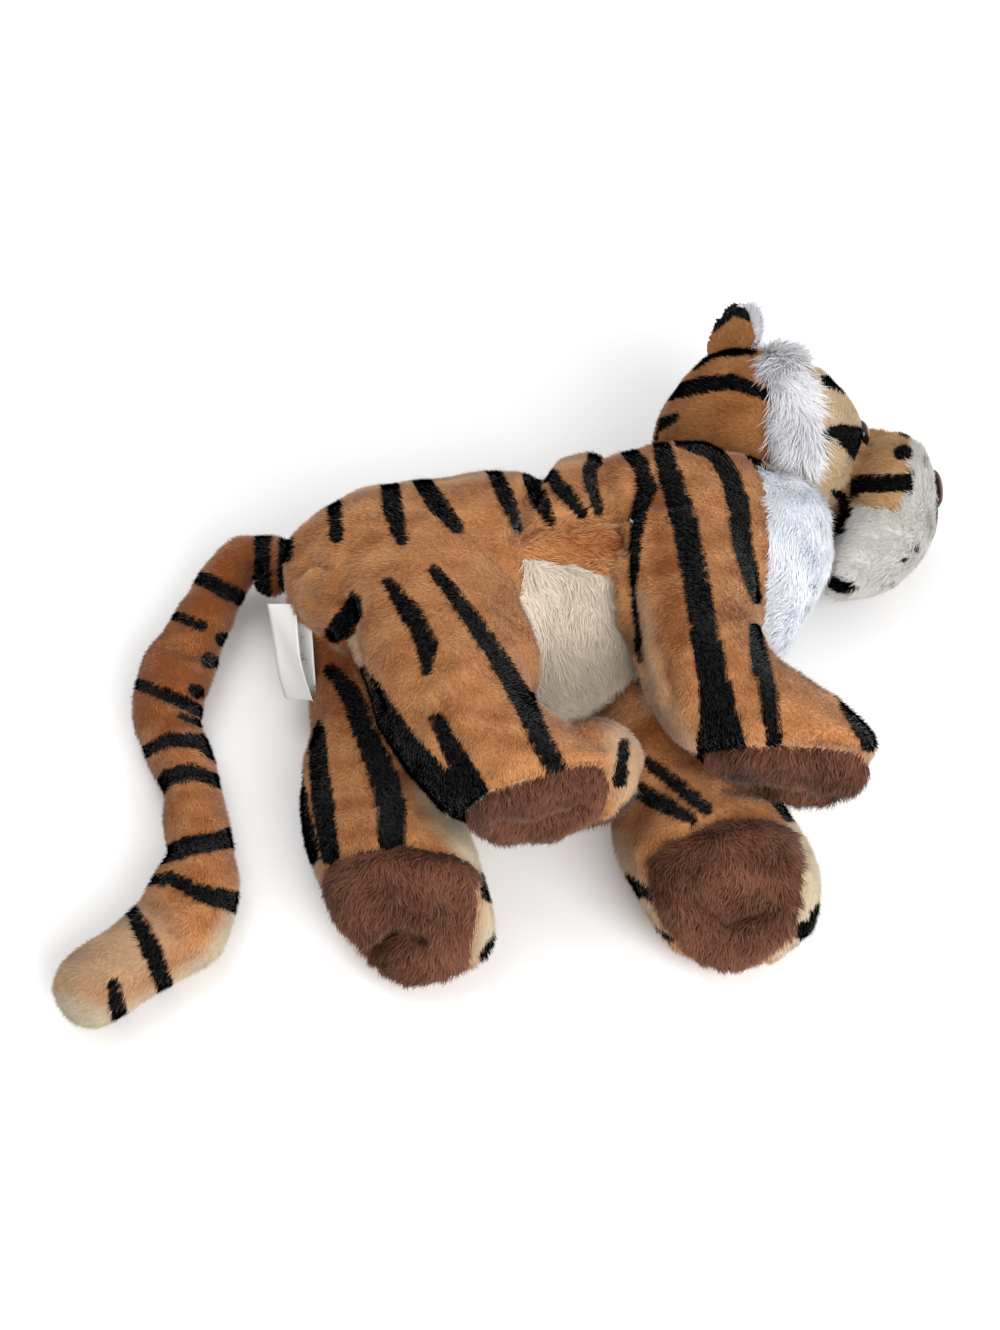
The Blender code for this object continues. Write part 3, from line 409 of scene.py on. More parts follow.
class TigerColours(bpy.types.PropertyGroup):
    tan: StringProperty(
        name="Tan plush", description="Orange tan of the striped plush, as sRGB hex", default="EDAF74"
    )
    tan_deep: StringProperty(name="Deep tan", description="Its deeper strands, as sRGB hex", default="985425")
    # The cream is partly a paler print and partly painted highlight on the sides that face the key light
    cream: StringProperty(
        name="Cream print and painted highlight",
        description="Cream of the striped plush's pale parts, as sRGB hex",
        default="DED0B2",
    )
    head: StringProperty(
        name="Head plush", description="Brown orange of the head, as sRGB hex", default="CC9058"
    )
    face: StringProperty(name="Face plush", description="Pale tan of the face, as sRGB hex", default="E5CEAE")
    stripe: StringProperty(
        name="Stripes", description="Black of the printed stripes, as sRGB hex", default="060607"
    )
    sole: StringProperty(name="Soles", description="Brown of the soles, as sRGB hex", default="8E5E48")
    # Belly and bib are one white plush: the belly's warmer, duller white is painted shade, the bib's bluer,
    # brighter white painted light from the front
    belly: StringProperty(name="Belly", description="Warm white of the belly, as sRGB hex", default="F7E8D4")
    bib: StringProperty(name="Bib", description="Cool white of the bib, as sRGB hex", default="FAFBFF")
    ruff: StringProperty(
        name="Cheek ruffs", description="Cool white of cheeks and ear linings, as sRGB hex", default="EEEDEF"
    )
    # The muzzle's greyer white is painted shade
    muzzle: StringProperty(name="Muzzle", description="White of the muzzle, as sRGB hex", default="D6D2CD")
    filling: StringProperty(
        name="Filling", description="White of the polyester fibre, as sRGB hex", default="EFEFEA"
    )
    label: StringProperty(name="Label", description="White of the satin label, as sRGB hex", default="F2F2F0")
    iris: StringProperty(name="Eyes", description="Amber of the moulded eyes, as sRGB hex", default="8A5418")
    nose: StringProperty(name="Nose", description="Brown of the stitched nose, as sRGB hex", default="5B3029")


class TigerStage(bpy.types.PropertyGroup):
    elevation: FloatProperty(
        name="Elevation",
        description="How far the camera looks down",
        default=math.radians(52),
        subtype="ANGLE",
    )
    distance: FloatProperty(
        name="Distance",
        description="From the camera to the floor it looks at",
        default=800 * MM,
        unit="LENGTH",
    )
    key: FloatProperty(name="Key light", description="Power of the large soft light, in watts", default=17.5)
    fill: FloatProperty(name="Room light", description="Strength of the even light around", default=0.58)


def linear(code):
    """An sRGB hex colour as linear light."""
    channels = [int(code[i : i + 2], 16) / 255 for i in (0, 2, 4)]
    return [c / 12.92 if c <= 0.04045 else ((c + 0.055) / 1.055) ** 2.4 for c in channels] + [1.0]


def node(tree, kind, settings=None, **links):
    """One node, with its own settings, its sockets' values and what is linked into them."""
    made = tree.nodes.new(kind)
    for name, value in (settings or {}).items():
        if isinstance(name, int):
            made.inputs[name].default_value = value
        elif hasattr(made, name):
            setattr(made, name, value)
        else:
            made.inputs[name].default_value = value
    for name, source in links.items():
        socket = made.inputs[int(name[1:])] if name[0] == "_" else made.inputs[name.replace("_", " ").title()]
        tree.links.new(source, socket)
    return made


def new_material(name):
    made = bpy.data.materials.new(name)
    made.use_nodes = True
    made.node_tree.nodes.clear()
    return made, made.node_tree


def finish_material(tree, shader):
    out = node(tree, "ShaderNodeOutputMaterial")
    tree.links.new(shader.outputs[0], out.inputs["Surface"])


def plush(name, light, deep, dark=None, sheen=0.12, root_shade=0.5, roughness=0.85, gloss=0.12, pale=None):
    """Cut-pile polyester plush: each strand is painted darker at its root, painted shade deep in the pile,
    and paler at its tip, painted highlight; dyed fibres differ a little.

    The eye gets a soft, matt, slightly uneven nap with a faint halo where it is seen edge on.
    The strands are drawn about ten times as thick as real fibres, so that they show."""
    made, tree = new_material(name)
    place = node(tree, "ShaderNodeTexCoord").outputs["Object"]
    patches = node(tree, "ShaderNodeTexNoise", {"Scale": 1 / (14 * MM), "Detail": 3.0}, vector=place)
    tone = node(tree, "ShaderNodeAttribute", {"attribute_name": "tone"}).outputs["Fac"]
    tip = node(tree, "ShaderNodeAttribute", {"attribute_name": "tip"}).outputs["Fac"]
    blend = node(
        tree, "ShaderNodeMath", {"operation": "MULTIPLY_ADD", 1: 0.5}, _0=patches.outputs["Fac"], _2=tone
    )
    # Towards its tip each strand turns to the light colour: painted highlight where the tips catch the light
    settings = {"operation": "MULTIPLY_ADD", "use_clamp": True, 1: 0.6}
    blend = node(tree, "ShaderNodeMath", settings, _0=tip, _2=blend.outputs[0])
    settings = {"data_type": "RGBA", 6: linear(deep), 7: linear(light)}
    colour = node(tree, "ShaderNodeMix", settings, _0=blend.outputs[0]).outputs[2]
    if pale:
        share = node(tree, "ShaderNodeAttribute", {"attribute_name": "pale"}).outputs["Fac"]
        colour = node(
            tree, "ShaderNodeMix", {"data_type": "RGBA", 7: linear(pale)}, _0=share, _6=colour
        ).outputs[2]
    if dark:
        mark = node(tree, "ShaderNodeAttribute", {"attribute_name": "mark"}).outputs["Fac"]
        colour = node(
            tree, "ShaderNodeMix", {"data_type": "RGBA", 7: linear(dark)}, _0=mark, _6=colour
        ).outputs[2]
    # Darker towards the root: painted shade deep in the pile
    shade = node(tree, "ShaderNodeMapRange", {"To Min": root_shade, "To Max": 1.0}, value=tip)
    shaded = node(tree, "ShaderNodeVectorMath", {"operation": "SCALE"}, _0=colour, scale=shade.outputs[0])
    settings = {
        "Roughness": roughness, "Sheen Weight": sheen, "Sheen Roughness": 0.5, "Specular IOR Level": gloss
    }
    finish_material(tree, node(tree, "ShaderNodeBsdfPrincipled", settings, _0=shaded.outputs[0]))
    return made


def printed_black(name):
    """The plush where its stripes are printed: the dye takes the pile's colour and most of its gloss."""
    return plush(name, bpy.context.scene.tiger_colours.stripe, "030303", None, 0.0, 0.7, 1.0, 0.0)


def cloth(name, code, thread, roughness=0.7, sheen=0.2, depth=0.25):
    """Woven cloth: two crossed threads raise a fine grid, which softens its highlights, and the colour is
    painted darker where the grid sinks between them, painted shade.
    """
    made, tree = new_material(name)
    place = node(tree, "ShaderNodeTexCoord").outputs["Object"]
    weave = None
    for direction in ("X", "Z"):
        wave = node(
            tree,
            "ShaderNodeTexWave",
            {"bands_direction": direction, "Scale": 1 / (thread * 2 * math.pi), "Distortion": 0.6},
            vector=place,
        ).outputs["Fac"]
        if weave is None:
            weave = wave
        else:
            weave = node(tree, "ShaderNodeMath", {"operation": "MAXIMUM"}, _0=weave, _1=wave).outputs[0]
    # Darker where the grid sinks between the threads: painted shade
    tint = node(tree, "ShaderNodeMix", {"data_type": "RGBA"}, _0=weave)
    tint.inputs[6].default_value = [c * 0.82 for c in linear(code)[:3]] + [1.0]
    tint.inputs[7].default_value = linear(code)
    bump = node(tree, "ShaderNodeBump", {"Strength": depth, "Distance": thread / 3}, height=weave)
    shader = node(
        tree,
        "ShaderNodeBsdfPrincipled",
        {"Roughness": roughness, "Sheen Weight": sheen},
        _0=tint.outputs[2],
        normal=bump.outputs[0],
    )
    finish_material(tree, shader)
    return made


def fibre(name, code):
    """Loose polyester fibre, carded: matt white, painted darker in the hollows between its wads, painted
    shade.
    """
    made, tree = new_material(name)
    place = node(tree, "ShaderNodeTexCoord").outputs["Object"]
    tufts = node(
        tree, "ShaderNodeTexNoise", {"Scale": 1 / (3 * MM), "Detail": 6.0, "Roughness": 0.7}, vector=place
    )
    # Darker in the hollows between the wads: painted shade
    tint = node(tree, "ShaderNodeMix", {"data_type": "RGBA"}, _0=tufts.outputs["Fac"])
    tint.inputs[6].default_value = [c * 0.7 for c in linear(code)[:3]] + [1.0]
    tint.inputs[7].default_value = linear(code)
    bump = node(tree, "ShaderNodeBump", {"Strength": 0.7, "Distance": 1.0 * MM}, height=tufts.outputs["Fac"])
    shader = node(
        tree, "ShaderNodeBsdfPrincipled", {"Roughness": 0.95}, _0=tint.outputs[2], normal=bump.outputs[0]
    )
    finish_material(tree, shader)
    return made


def moulded(name, code, roughness):
    """Injection-moulded plastic: even colour under a smooth skin, with faint flow marks."""
    made, tree = new_material(name)
    place = node(tree, "ShaderNodeTexCoord").outputs["Object"]
    flow = node(tree, "ShaderNodeTexNoise", {"Scale": 1 / (2 * MM), "Detail": 2.0}, vector=place)
    settings = {"To Min": roughness * 0.9, "To Max": roughness * 1.1}
    rough = node(tree, "ShaderNodeMapRange", settings, value=flow.outputs["Fac"])
    tint = node(tree, "ShaderNodeMix", {"data_type": "RGBA"}, _0=flow.outputs["Fac"])
    tint.inputs[6].default_value = [c * 0.9 for c in linear(code)[:3]] + [1.0]
    tint.inputs[7].default_value = linear(code)
    shader = node(
        tree, "ShaderNodeBsdfPrincipled", {"IOR": 1.49}, _0=tint.outputs[2], roughness=rough.outputs[0]
    )
    finish_material(tree, shader)
    return made


def unit(vectors):
    return vectors / np.maximum(np.linalg.norm(vectors, axis=-1, keepdims=True), 1e-12)


def dot(a, b):
    return (a * b).sum(axis=-1)


def pixels(points):
    """Where points land in the camera's frame, in pixels."""
    x, y, z = (points - FRAME_MIDDLE).T / MM
    stage = bpy.context.scene.tiger_stage
    sin, cos = math.sin(stage.elevation), math.cos(stage.elevation)
    far = stage.distance / MM + y * cos - z * sin
    across = FRAME_PIXELS[0] / 2 + FOCAL_PIXELS * x / far
    down = FRAME_PIXELS[1] / 2 - FOCAL_PIXELS * (y * sin + z * cos) / far
    return np.stack([across, down], axis=1)


def striped(points, lines, rng, thinner=0.0):
    """One for each point on a stripe or in an outlined mark, with an edge uneven as printed pile's."""
    spots = pixels(points)
    drift = 0.4 * ripple(points, 8 * MM, 5) + STRIPE_FUZZ * rng.normal(size=len(points))
    on = np.zeros(len(points), bool)
    for line in lines:
        if len(line[0]) == 2:
            on |= inside(spots + drift[:, None] * 0.7, line)
            continue
        away, width = away_from(spots, line)
        on |= away + drift + thinner < width / 2 + 1
    return on.astype(float)


def away_from(spots, line):
    """How far each spot lies from a line of (across, down, width), and the line's width there."""
    far, wide = np.full(len(spots), np.inf), np.ones(len(spots))
    for (x0, y0, w0), (x1, y1, w1) in zip(line, line[1:]):
        run = np.array((x1 - x0, y1 - y0), float)
        start = spots - (x0, y0)
        share = np.clip(start @ run / (run @ run), 0, 1)
        away = np.linalg.norm(start - share[:, None] * run, axis=1)
        width = w0 + share * (w1 - w0)
        closer = away / width < far / wide
        far, wide = np.where(closer, away, far), np.where(closer, width, wide)
    return far, wide


def shaded(points, zones):
    """How much paler, above zero, or darker, below, the cloth is painted at each point: cream print with
    painted highlight, and brown overspray with painted shade.
    """
    spots = pixels(points)
    pale, deep = np.zeros(len(points)), np.zeros(len(points))
    for amount, *line in zones:
        away, width = away_from(spots, line)
        share = np.clip(1.25 - away / width, 0, 1)
        share = abs(amount) * share * share * (3 - 2 * share)
        if amount > 0:
            pale = np.maximum(pale, share)
        else:
            deep = np.maximum(deep, share)
    return np.minimum(pale, 1) - deep


def inside(spots, outline):
    """Which spots fall within an outline."""
    x, y = spots.T
    found = np.zeros(len(spots), bool)
    for (x0, y0), (x1, y1) in zip(outline, outline[1:] + outline[:1]):
        if y0 != y1:
            found ^= ((y0 > y) != (y1 > y)) & (x < x0 + (y - y0) * (x1 - x0) / (y1 - y0))
    return found


def seen(points, normals):
    """Whether each point's surface faces the camera."""
    stage = bpy.context.scene.tiger_stage
    back = np.array((0, -math.cos(stage.elevation), math.sin(stage.elevation)))
    return dot(normals, unit(FRAME_MIDDLE + back * stage.distance - points)) > 0.02


def spot(across, down, height):
    """The place in the frame, at a height in mm, that shows at a pixel."""
    stage = bpy.context.scene.tiger_stage
    sin, cos = math.sin(stage.elevation), math.cos(stage.elevation)
    rise = (FRAME_PIXELS[1] / 2 - down) / FOCAL_PIXELS
    y = (rise * (stage.distance / MM - sin * height) - cos * height) / (sin - cos * rise)
    x = (across - FRAME_PIXELS[0] / 2) * (stage.distance / MM + y * cos - height * sin) / FOCAL_PIXELS
    return FRAME_MIDDLE + np.array((x, y, height)) * MM


def facing_point(tree, across, down):
    """The place on a surface that shows at a pixel."""
    middle = spot(across, down, 40)
    return surface_point(tree, middle, unit(spot(across, down, 100) - middle))[0]


def pulled(cover, pulls):
    """The cover shaped by the listed pulls: each pull moves what is near a place, the more the nearer."""
    points = cover.points.copy()
    tree = BVHTree.FromPolygons(cover.points.tolist(), cover.faces.tolist())
    for across, down, height, radius, *move in pulls:
        middle = facing_point(tree, across, down) if height is None else spot(across, down, height)
        away = np.linalg.norm(cover.points - middle, axis=1) / (radius * MM)
        points += (np.clip(1 - away**2, 0, 1) ** 2)[:, None] * np.array(move) * MM
    points[:, 2] = np.maximum(points[:, 2], 0)
    return Cover(points, cover.faces)


def creased(cover, lines, width, depth):
    """The cover with folds pressed in, where the camera sees them. Width and depth are in mm."""
    spots, shows = pixels(cover.points), seen(cover.points, cover.normals)
    pressed = np.zeros(len(spots))
    for line in lines:
        for (x0, y0), (x1, y1) in zip(line, line[1:]):
            run = np.array((x1 - x0, y1 - y0), float)
            start = spots - (x0, y0)
            share = np.clip(start @ run / (run @ run), 0, 1)
            away = np.linalg.norm(start - share[:, None] * run, axis=1) / PIXELS_PER_MM / width
            pressed = np.maximum(pressed, np.clip(1 - away, 0, 1) ** 1.5)
    points = cover.points - cover.normals * (pressed * shows * depth * MM)[:, None]
    points[:, 2] = np.maximum(points[:, 2], 0)
    return Cover(points, cover.faces)


def tucked(points, cover, gap):
    """Points kept at least a gap inside a cover."""
    tree = BVHTree.FromPolygons(cover.points.tolist(), cover.faces.tolist())
    kept = points.copy()
    for i, point in enumerate(points):
        place, normal, _, _ = tree.find_nearest(Vector(point))
        if (Vector(point) - place).dot(normal) > -gap:
            kept[i] = place - normal * gap
    return kept


def ripple(points, wave, seed):
    """Smooth noise, mostly between -1 and 1, that repeats nowhere within the toy."""
    rng = np.random.default_rng(seed)
    total = np.zeros(len(points))
    for _ in range(6):
        direction = unit(rng.normal(size=3)) * 2 * math.pi / (wave * rng.uniform(0.7, 1.6))
        total += np.sin(points @ direction + rng.uniform(0, 2 * math.pi))
    return total / 2.6


def tufts(points, spacing, seed):
    """The middle of the tuft that each point belongs to."""
    cell = np.floor(points / spacing).astype(np.int64)
    best = np.full(len(points), np.inf)
    found = points.copy()
    for offset in itertools.product((-1, 0, 1), repeat=3):
        corner = cell + offset
        key = corner @ np.array((73856093, 19349663, 83492791)) + seed
        scattered = [np.abs(np.sin(key * factor)) * 43758.5453 for factor in (0.0127, 0.0271, 0.0393)]
        jitter = np.stack([np.modf(value)[0] for value in scattered], axis=1)
        centre = (corner + jitter) * spacing
        away = ((centre - points) ** 2).sum(axis=1)
        closer = away < best
        best[closer], found[closer] = away[closer], centre[closer]
    return found


class Cover:
    """One panel's points, triangles and smooth outward normals."""

    def __init__(self, points, faces, normals=None):
        self.points, self.faces = points, faces
        if normals is None:
            corners = points[faces]
            flat = np.cross(corners[:, 1] - corners[:, 0], corners[:, 2] - corners[:, 0])
            normals = np.zeros_like(points)
            for corner in range(3):
                np.add.at(normals, faces[:, corner], flat)
            normals = unit(normals)
        self.normals = normals

    def part(self, keep):
        """The faces that keep says, with only their own points."""
        faces = self.faces[keep]
        used, index = np.unique(faces, return_inverse=True)
        return Cover(self.points[used], index.reshape(faces.shape), self.normals[used])

    def area(self):
        corners = self.points[self.faces]
        return np.linalg.norm(
            np.cross(corners[:, 1] - corners[:, 0], corners[:, 2] - corners[:, 0]), axis=1
        ) / 2


def whole(points, faces):
    """Only the largest of the closed surfaces."""
    label = np.arange(len(points))
    edges = np.concatenate([faces[:, [0, 1]], faces[:, [1, 2]]])
    while True:
        low = np.minimum(label[edges[:, 0]], label[edges[:, 1]])
        new = label.copy()
        np.minimum.at(new, edges[:, 0], low)
        np.minimum.at(new, edges[:, 1], low)
        new = new[new]
        if (new == label).all():
            break
        label = new
    names, counts = np.unique(label[faces[:, 0]], return_counts=True)
    return Cover(points, faces).part(label[faces[:, 0]] == names[counts.argmax()])


def fused(nodes, lumps=(), voxel=2.2 * MM, rounds=8):
    """One smooth closed surface over CAD nodes and rounded lumps, each a matrix over a unit ball."""
    mesh = bmesh.new()
    for name in nodes:
        mesh.from_mesh(frame["nodes"][name].data)
    for lump in lumps:
        bmesh.ops.create_uvsphere(mesh, u_segments=32, v_segments=20, radius=1, matrix=lump)
    data = bpy.data.meshes.new("fused")
    mesh.to_mesh(data)
    mesh.free()
    obj = bpy.data.objects.new("fused", data)
    bpy.context.scene.collection.objects.link(obj)
    remesh = obj.modifiers.new("remesh", "REMESH")
    remesh.mode, remesh.voxel_size = "VOXEL", voxel
    smooth = obj.modifiers.new("smooth", "SMOOTH")
    smooth.factor, smooth.iterations = 0.5, rounds
    made = obj.evaluated_get(bpy.context.evaluated_depsgraph_get()).to_mesh()
    made.calc_loop_triangles()
    points = np.empty(len(made.vertices) * 3)
    made.vertices.foreach_get("co", points)
    faces = np.empty(len(made.loop_triangles) * 3, np.int64)
    made.loop_triangles.foreach_get("vertices", faces)
    bpy.data.objects.remove(obj)
    bpy.data.meshes.remove(data)
    return whole(points.reshape(-1, 3), faces.reshape(-1, 3))


def ball(centre, half, turn=None):
    """The matrix that makes a unit ball into a lump at a place in the frame, in metres."""
    turn = Matrix.Identity(4) if turn is None else turn
    return Matrix.Translation(Vector(centre)) @ turn @ Matrix.Diagonal((*half, 1))


def nearest(points, groups):
    """For each point, the group of CAD nodes whose surface lies nearest."""
    away = []
    for names in groups:
        corners, faces = [], []
        for name in names:
            data = frame["nodes"][name].data
            faces += [[len(corners) + i for i in polygon.vertices] for polygon in data.polygons]
            corners += [vertex.co for vertex in data.vertices]
        tree = BVHTree.FromPolygons(corners, faces)
        away.append([tree.find_nearest(Vector(point))[3] for point in points])
    return np.array(away)


def drawn_in(cover, region, width, depth):
    """The cover with a groove along the seams between its regions."""
    own = region[cover.faces]
    mixed = (own != own[:, :1]).any(axis=1)
    edge = np.unique(cover.faces[mixed])
    tree = KDTree(len(edge))
    for i, point in enumerate(cover.points[edge]):
        tree.insert(point, i)
    tree.balance()
    away = np.array([tree.find(point)[2] for point in cover.points])
    groove = depth * np.clip(1 - away / width, 0, 1) ** 1.6
    points = cover.points - cover.normals * groove[:, None]
    points[:, 2] = np.maximum(points[:, 2], 0.0)
    return Cover(points, cover.faces)


def flat_map(data, points, facing):
    """Spreads a mesh over six tiles, one for each side that its faces look to."""
    low, high = points.min(axis=0), points.max(axis=0)
    share = (points - low) / np.maximum(high - low, 1e-9) * 0.96 + 0.02
    axis = np.abs(facing).argmax(axis=1)
    row = facing[np.arange(len(axis)), axis] > 0
    across = np.choose(axis, [share[:, 1], share[:, 0], share[:, 0]])
    up = np.choose(axis, [share[:, 2], share[:, 2], share[:, 1]])
    layer = data.uv_layers.new(name="OFBake")
    layer.data.foreach_set(
        "uv", np.stack([(axis + across) / 3, (row + up) / 2], axis=1).astype(np.float32).ravel()
    )


def mesh_of(name, points, faces, facing=None, **values):
    """A smooth mesh from arrays, with its flat map and its numbers per point."""
    data = bpy.data.meshes.new(name)
    data.vertices.add(len(points))
    data.vertices.foreach_set("co", points.astype(np.float32).ravel())
    data.loops.add(faces.size)
    data.loops.foreach_set("vertex_index", faces.astype(np.int32).ravel())
    data.polygons.add(len(faces))
    data.polygons.foreach_set("loop_start", np.arange(0, faces.size, 3, dtype=np.int32))
    data.update(calc_edges=True)
    data.shade_smooth()
    if facing is None:
        corners = points[faces]
        facing = np.repeat(np.cross(corners[:, 1] - corners[:, 0], corners[:, 2] - corners[:, 0]), 3, axis=0)
    flat_map(data, points[faces.ravel()], facing)
    for key, value in values.items():
        data.attributes.new(key, "FLOAT", "POINT").data.foreach_set("value", np.asarray(value, np.float32))
    return data


def shown(name, data, material, motion, replaces=()):
    """An object that moves with its body, or, given the two bodies it would bend between, stays fixed where
    it is, and stands for CAD nodes.
    """
    obj = bpy.data.objects.new(name, data)
    bpy.context.scene.collection.objects.link(obj)
    data.materials.append(material)
    if isinstance(motion, str):
        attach(obj, motion)
    else:
        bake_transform(obj)
    if replaces:
        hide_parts(*replaces)
    return obj


def sew(name, cover, material, motion, replaces=(), marks=None):
    """A cover as a sheet of backing cloth, which its pile stands on."""
    pile = bpy.context.scene.tiger_pile
    rng = np.random.default_rng(1)
    mark, shade = marks(cover.points, rng) if marks else np.zeros((2, len(cover.points)))
    # The zones' darker parts lower the tone: painted shade, and where printed, the brown overspray
    tone = -0.1 + 0.2 * ripple(cover.points, 12 * MM, 3) + 0.6 * np.minimum(shade, 0)
    # The backing takes the colour of the pile near its roots: painted shade under the pile
    tip = np.full(len(cover.points), 0.45)
    data = mesh_of(name, cover.points, cover.faces, mark=mark, pale=np.maximum(shade, 0), tone=tone, tip=tip)
    obj = shown(name, data, material, motion, replaces)
    thick = obj.modifiers.new("backing", "SOLIDIFY")
    thick.thickness, thick.offset = pile.cloth, -1.0
    return obj


def strands(roots, normals, flow, length, width, lean, steps, rng, swirl, tuft, pull):
    """Tapered three-sided strands that lean along the flow: points, faces, normals, height share."""
    count = len(roots)
    side = np.cross(normals, flow)
    turn = swirl * (
        1.2 * ripple(roots, 16 * MM, 11) + 0.6 * ripple(roots, 6 * MM, 12) + 0.6 * rng.normal(size=count)
    )
    flow = flow * np.cos(turn)[:, None] + side * np.sin(turn)[:, None]
    reach = length * (1 + 0.12 * ripple(roots, 5 * MM, 13) + 0.14 * rng.normal(size=count)).clip(0.4, 1.5)
    middle = tufts(roots, tuft, 17) - roots
    middle -= normals * dot(middle, normals)[:, None]
    first = lean[0] + 0.16 * rng.normal(size=count)
    last = lean[1] + 0.16 * rng.normal(size=count)
    place = roots - normals * 0.25 * MM
    rings, shares, shine = [], [], []
    for step in range(steps + 1):
        share = step / steps
        angle = (first + (last - first) * share)[:, None]
        along = normals * np.cos(angle) + flow * np.sin(angle)
        if step:
            place = place + along * (reach / steps)[:, None]
        centre = place + middle * pull * share**1.3
        centre[:, 2] = np.maximum(centre[:, 2], width)
        if step == steps:
            rings.append(centre[:, None])
            shine.append(unit(normals * 0.8 + along * 0.35)[:, None])
            shares.append(np.ones((count, 1)))
            break
        across = unit(np.cross(along, normals + 1e-4))
        over = np.cross(along, across)
        radius = width / 2 * (1 - 0.35 * share)
        for corner in range(3):
            bearing = 2 * math.pi * (corner + 0.25) / 3
            out = across * math.cos(bearing) + over * math.sin(bearing)
            rings.append((centre + out * radius)[:, None])
            shine.append(unit(normals * 0.75 + out * 0.45)[:, None])
            shares.append(np.full((count, 1), share))
    points = np.concatenate(rings, axis=1)
    template = []
    for step in range(steps - 1):
        a, b = 3 * step, 3 * step + 3
        for i, j in ((0, 1), (1, 2), (2, 0)):
            template += [(a + i, a + j, b + j), (a + i, b + j, b + i)]
    a, tip = 3 * (steps - 1), 3 * steps
    template += [(a + i, a + j, tip) for i, j in ((0, 1), (1, 2), (2, 0))]
    faces = (np.arange(count)[:, None, None] * points.shape[1] + np.array(template)[None]).reshape(-1, 3)
    shine, shares = np.concatenate(shine, axis=1), np.concatenate(shares, axis=1)
    return points.reshape(-1, 3), faces, shine.reshape(-1, 3), shares.ravel(), len(template)


# Triangles in one pile at most
MOST_FACES = 190000


def grow(name, cover, materials, motion, kind, flow, marks=None, trim=None):
    """The pile of one cover. Where marks are, the second material's strands grow."""
    pile = bpy.context.scene.tiger_pile
    length, width, density, steps, lean, swirl, tuft, pull = kind
    rng = np.random.default_rng([pile.seed, sum(map(ord, name))])
    area = cover.area()
    per_strand = 6 * (steps - 1) + 3
    count = int(min(area.sum() / MM**2 * density * pile.fullness, MOST_FACES / per_strand))
    total = np.cumsum(area)
    pick = np.searchsorted(
        total, (np.arange(count) + rng.random(count)) / count * total[-1]
    ).clip(0, len(area) - 1)
    a, b = np.sqrt(rng.random(count)), rng.random(count)
    weight = np.stack([1 - a, a * (1 - b), a * b], axis=1)[:, :, None]
    roots = (cover.points[cover.faces[pick]] * weight).sum(axis=1)
    normals = unit((cover.normals[cover.faces[pick]] * weight).sum(axis=1))
    size = np.full(count, length)
    if trim is not None:
        share = trim(roots)
        keep = share > 0.02
        roots, normals, size = roots[keep], normals[keep], size[keep] * share[keep]
    run = flow(roots)
    run = unit(run - normals * dot(run, normals)[:, None])
    mark, shade = marks(roots + run * length * 0.5, rng) if marks else np.zeros((2, len(roots)))
    made = strands(roots, normals, run, size, width * pile.strand, lean, steps, rng, swirl, tuft, pull)
    points, faces, shine, share, per_strand = made
    corners = len(points) // len(roots)
    tone = -0.2 + 0.2 * rng.normal(size=len(roots)) + 0.2 * ripple(roots, 22 * MM, 3)
    # Darker where the zones paint shade, and where the brown overspray is printed
    tone += 0.6 * np.minimum(shade, 0)
    data = mesh_of(
        name,
        points,
        faces,
        facing=np.repeat(normals, per_strand * 3, axis=0),
        tone=np.repeat(tone, corners),
        pale=np.repeat(np.maximum(shade, 0), corners),
        tip=0.35 + 0.65 * share,
    )
    data.normals_split_custom_set_from_vertices(shine.astype(np.float32))
    obj = shown(name, data, materials[0], motion)
    if mark.any():
        data.materials.append(materials[1])
        data.polygons.foreach_set("material_index", np.repeat(mark.astype(np.int32), per_strand))
    return obj


def piles():
    """Each kind of pile: length, thickness, strands per square mm, steps, lean, swirl, tuft, pull."""
    pile = bpy.context.scene.tiger_pile
    return {
        "short": (pile.short, 0.85, 2.3, 1, (0.8, 0.9), 0.2, 2.6 * MM, 0.12),
        "flank": (pile.short * 1.8, 0.85, 2.2, 2, (0.9, 1.25), 0.3, 3.5 * MM, 0.25),
        "ear": (pile.short * 0.7, 0.85, 2.6, 1, (0.95, 1.05), 0.25, 2.6 * MM, 0.15),
        "sole": (pile.sole, 0.85, 2.6, 2, (0.8, 1.15), 0.4, 4.0 * MM, 0.25),
        "belly": (pile.belly, 0.8, 1.5, 2, (0.9, 1.35), 0.35, 4.0 * MM, 0.3),
        "bib": (pile.belly * 0.75, 0.75, 2.2, 2, (0.9, 1.35), 0.3, 3.0 * MM, 0.2),
        "ruff": (pile.ruff, 0.75, 2.6, 3, (0.8, 1.25), 0.42, 4.5 * MM, 0.4),
        "muzzle": (pile.muzzle, 0.75, 2.4, 2, (0.9, 1.25), 0.4, 3.0 * MM, 0.2),
    }


def head_frame():
    """The skull's middle, and forward, up and the tiger's right."""
    forward = np.array(
        (
            math.cos(HEAD_PITCH) * math.cos(HEAD_TURN),
            math.sin(HEAD_PITCH) * math.cos(HEAD_TURN),
            -math.sin(HEAD_TURN),
        )
    )
    up = np.array((-math.sin(HEAD_PITCH), math.cos(HEAD_PITCH), 0.0))
    return JOINTS["neck_nod"] + NECK_TO_SKULL, np.array((forward, up, np.cross(forward, up)))


def from_head(steps):
    """A place given along the head's own axes, in the frame."""
    centre, axes = head_frame()
    return centre + np.asarray(steps) @ axes


def near_side(points, middle):
    """The points with those on the far side mirrored across a level plane at middle."""
    mirrored = points.copy()
    mirrored[:, 2] = np.maximum(points[:, 2], 2 * middle - points[:, 2])
    return mirrored


def head_side(points):
    """The points with those on the head's left mirrored to its right."""
    centre, axes = head_frame()
    off = (points - centre) @ axes[2]
    return points - np.outer(np.minimum(off, 0) * 2, axes[2])


# The covers made so far, since several operators need the same one
SHAPES = {}
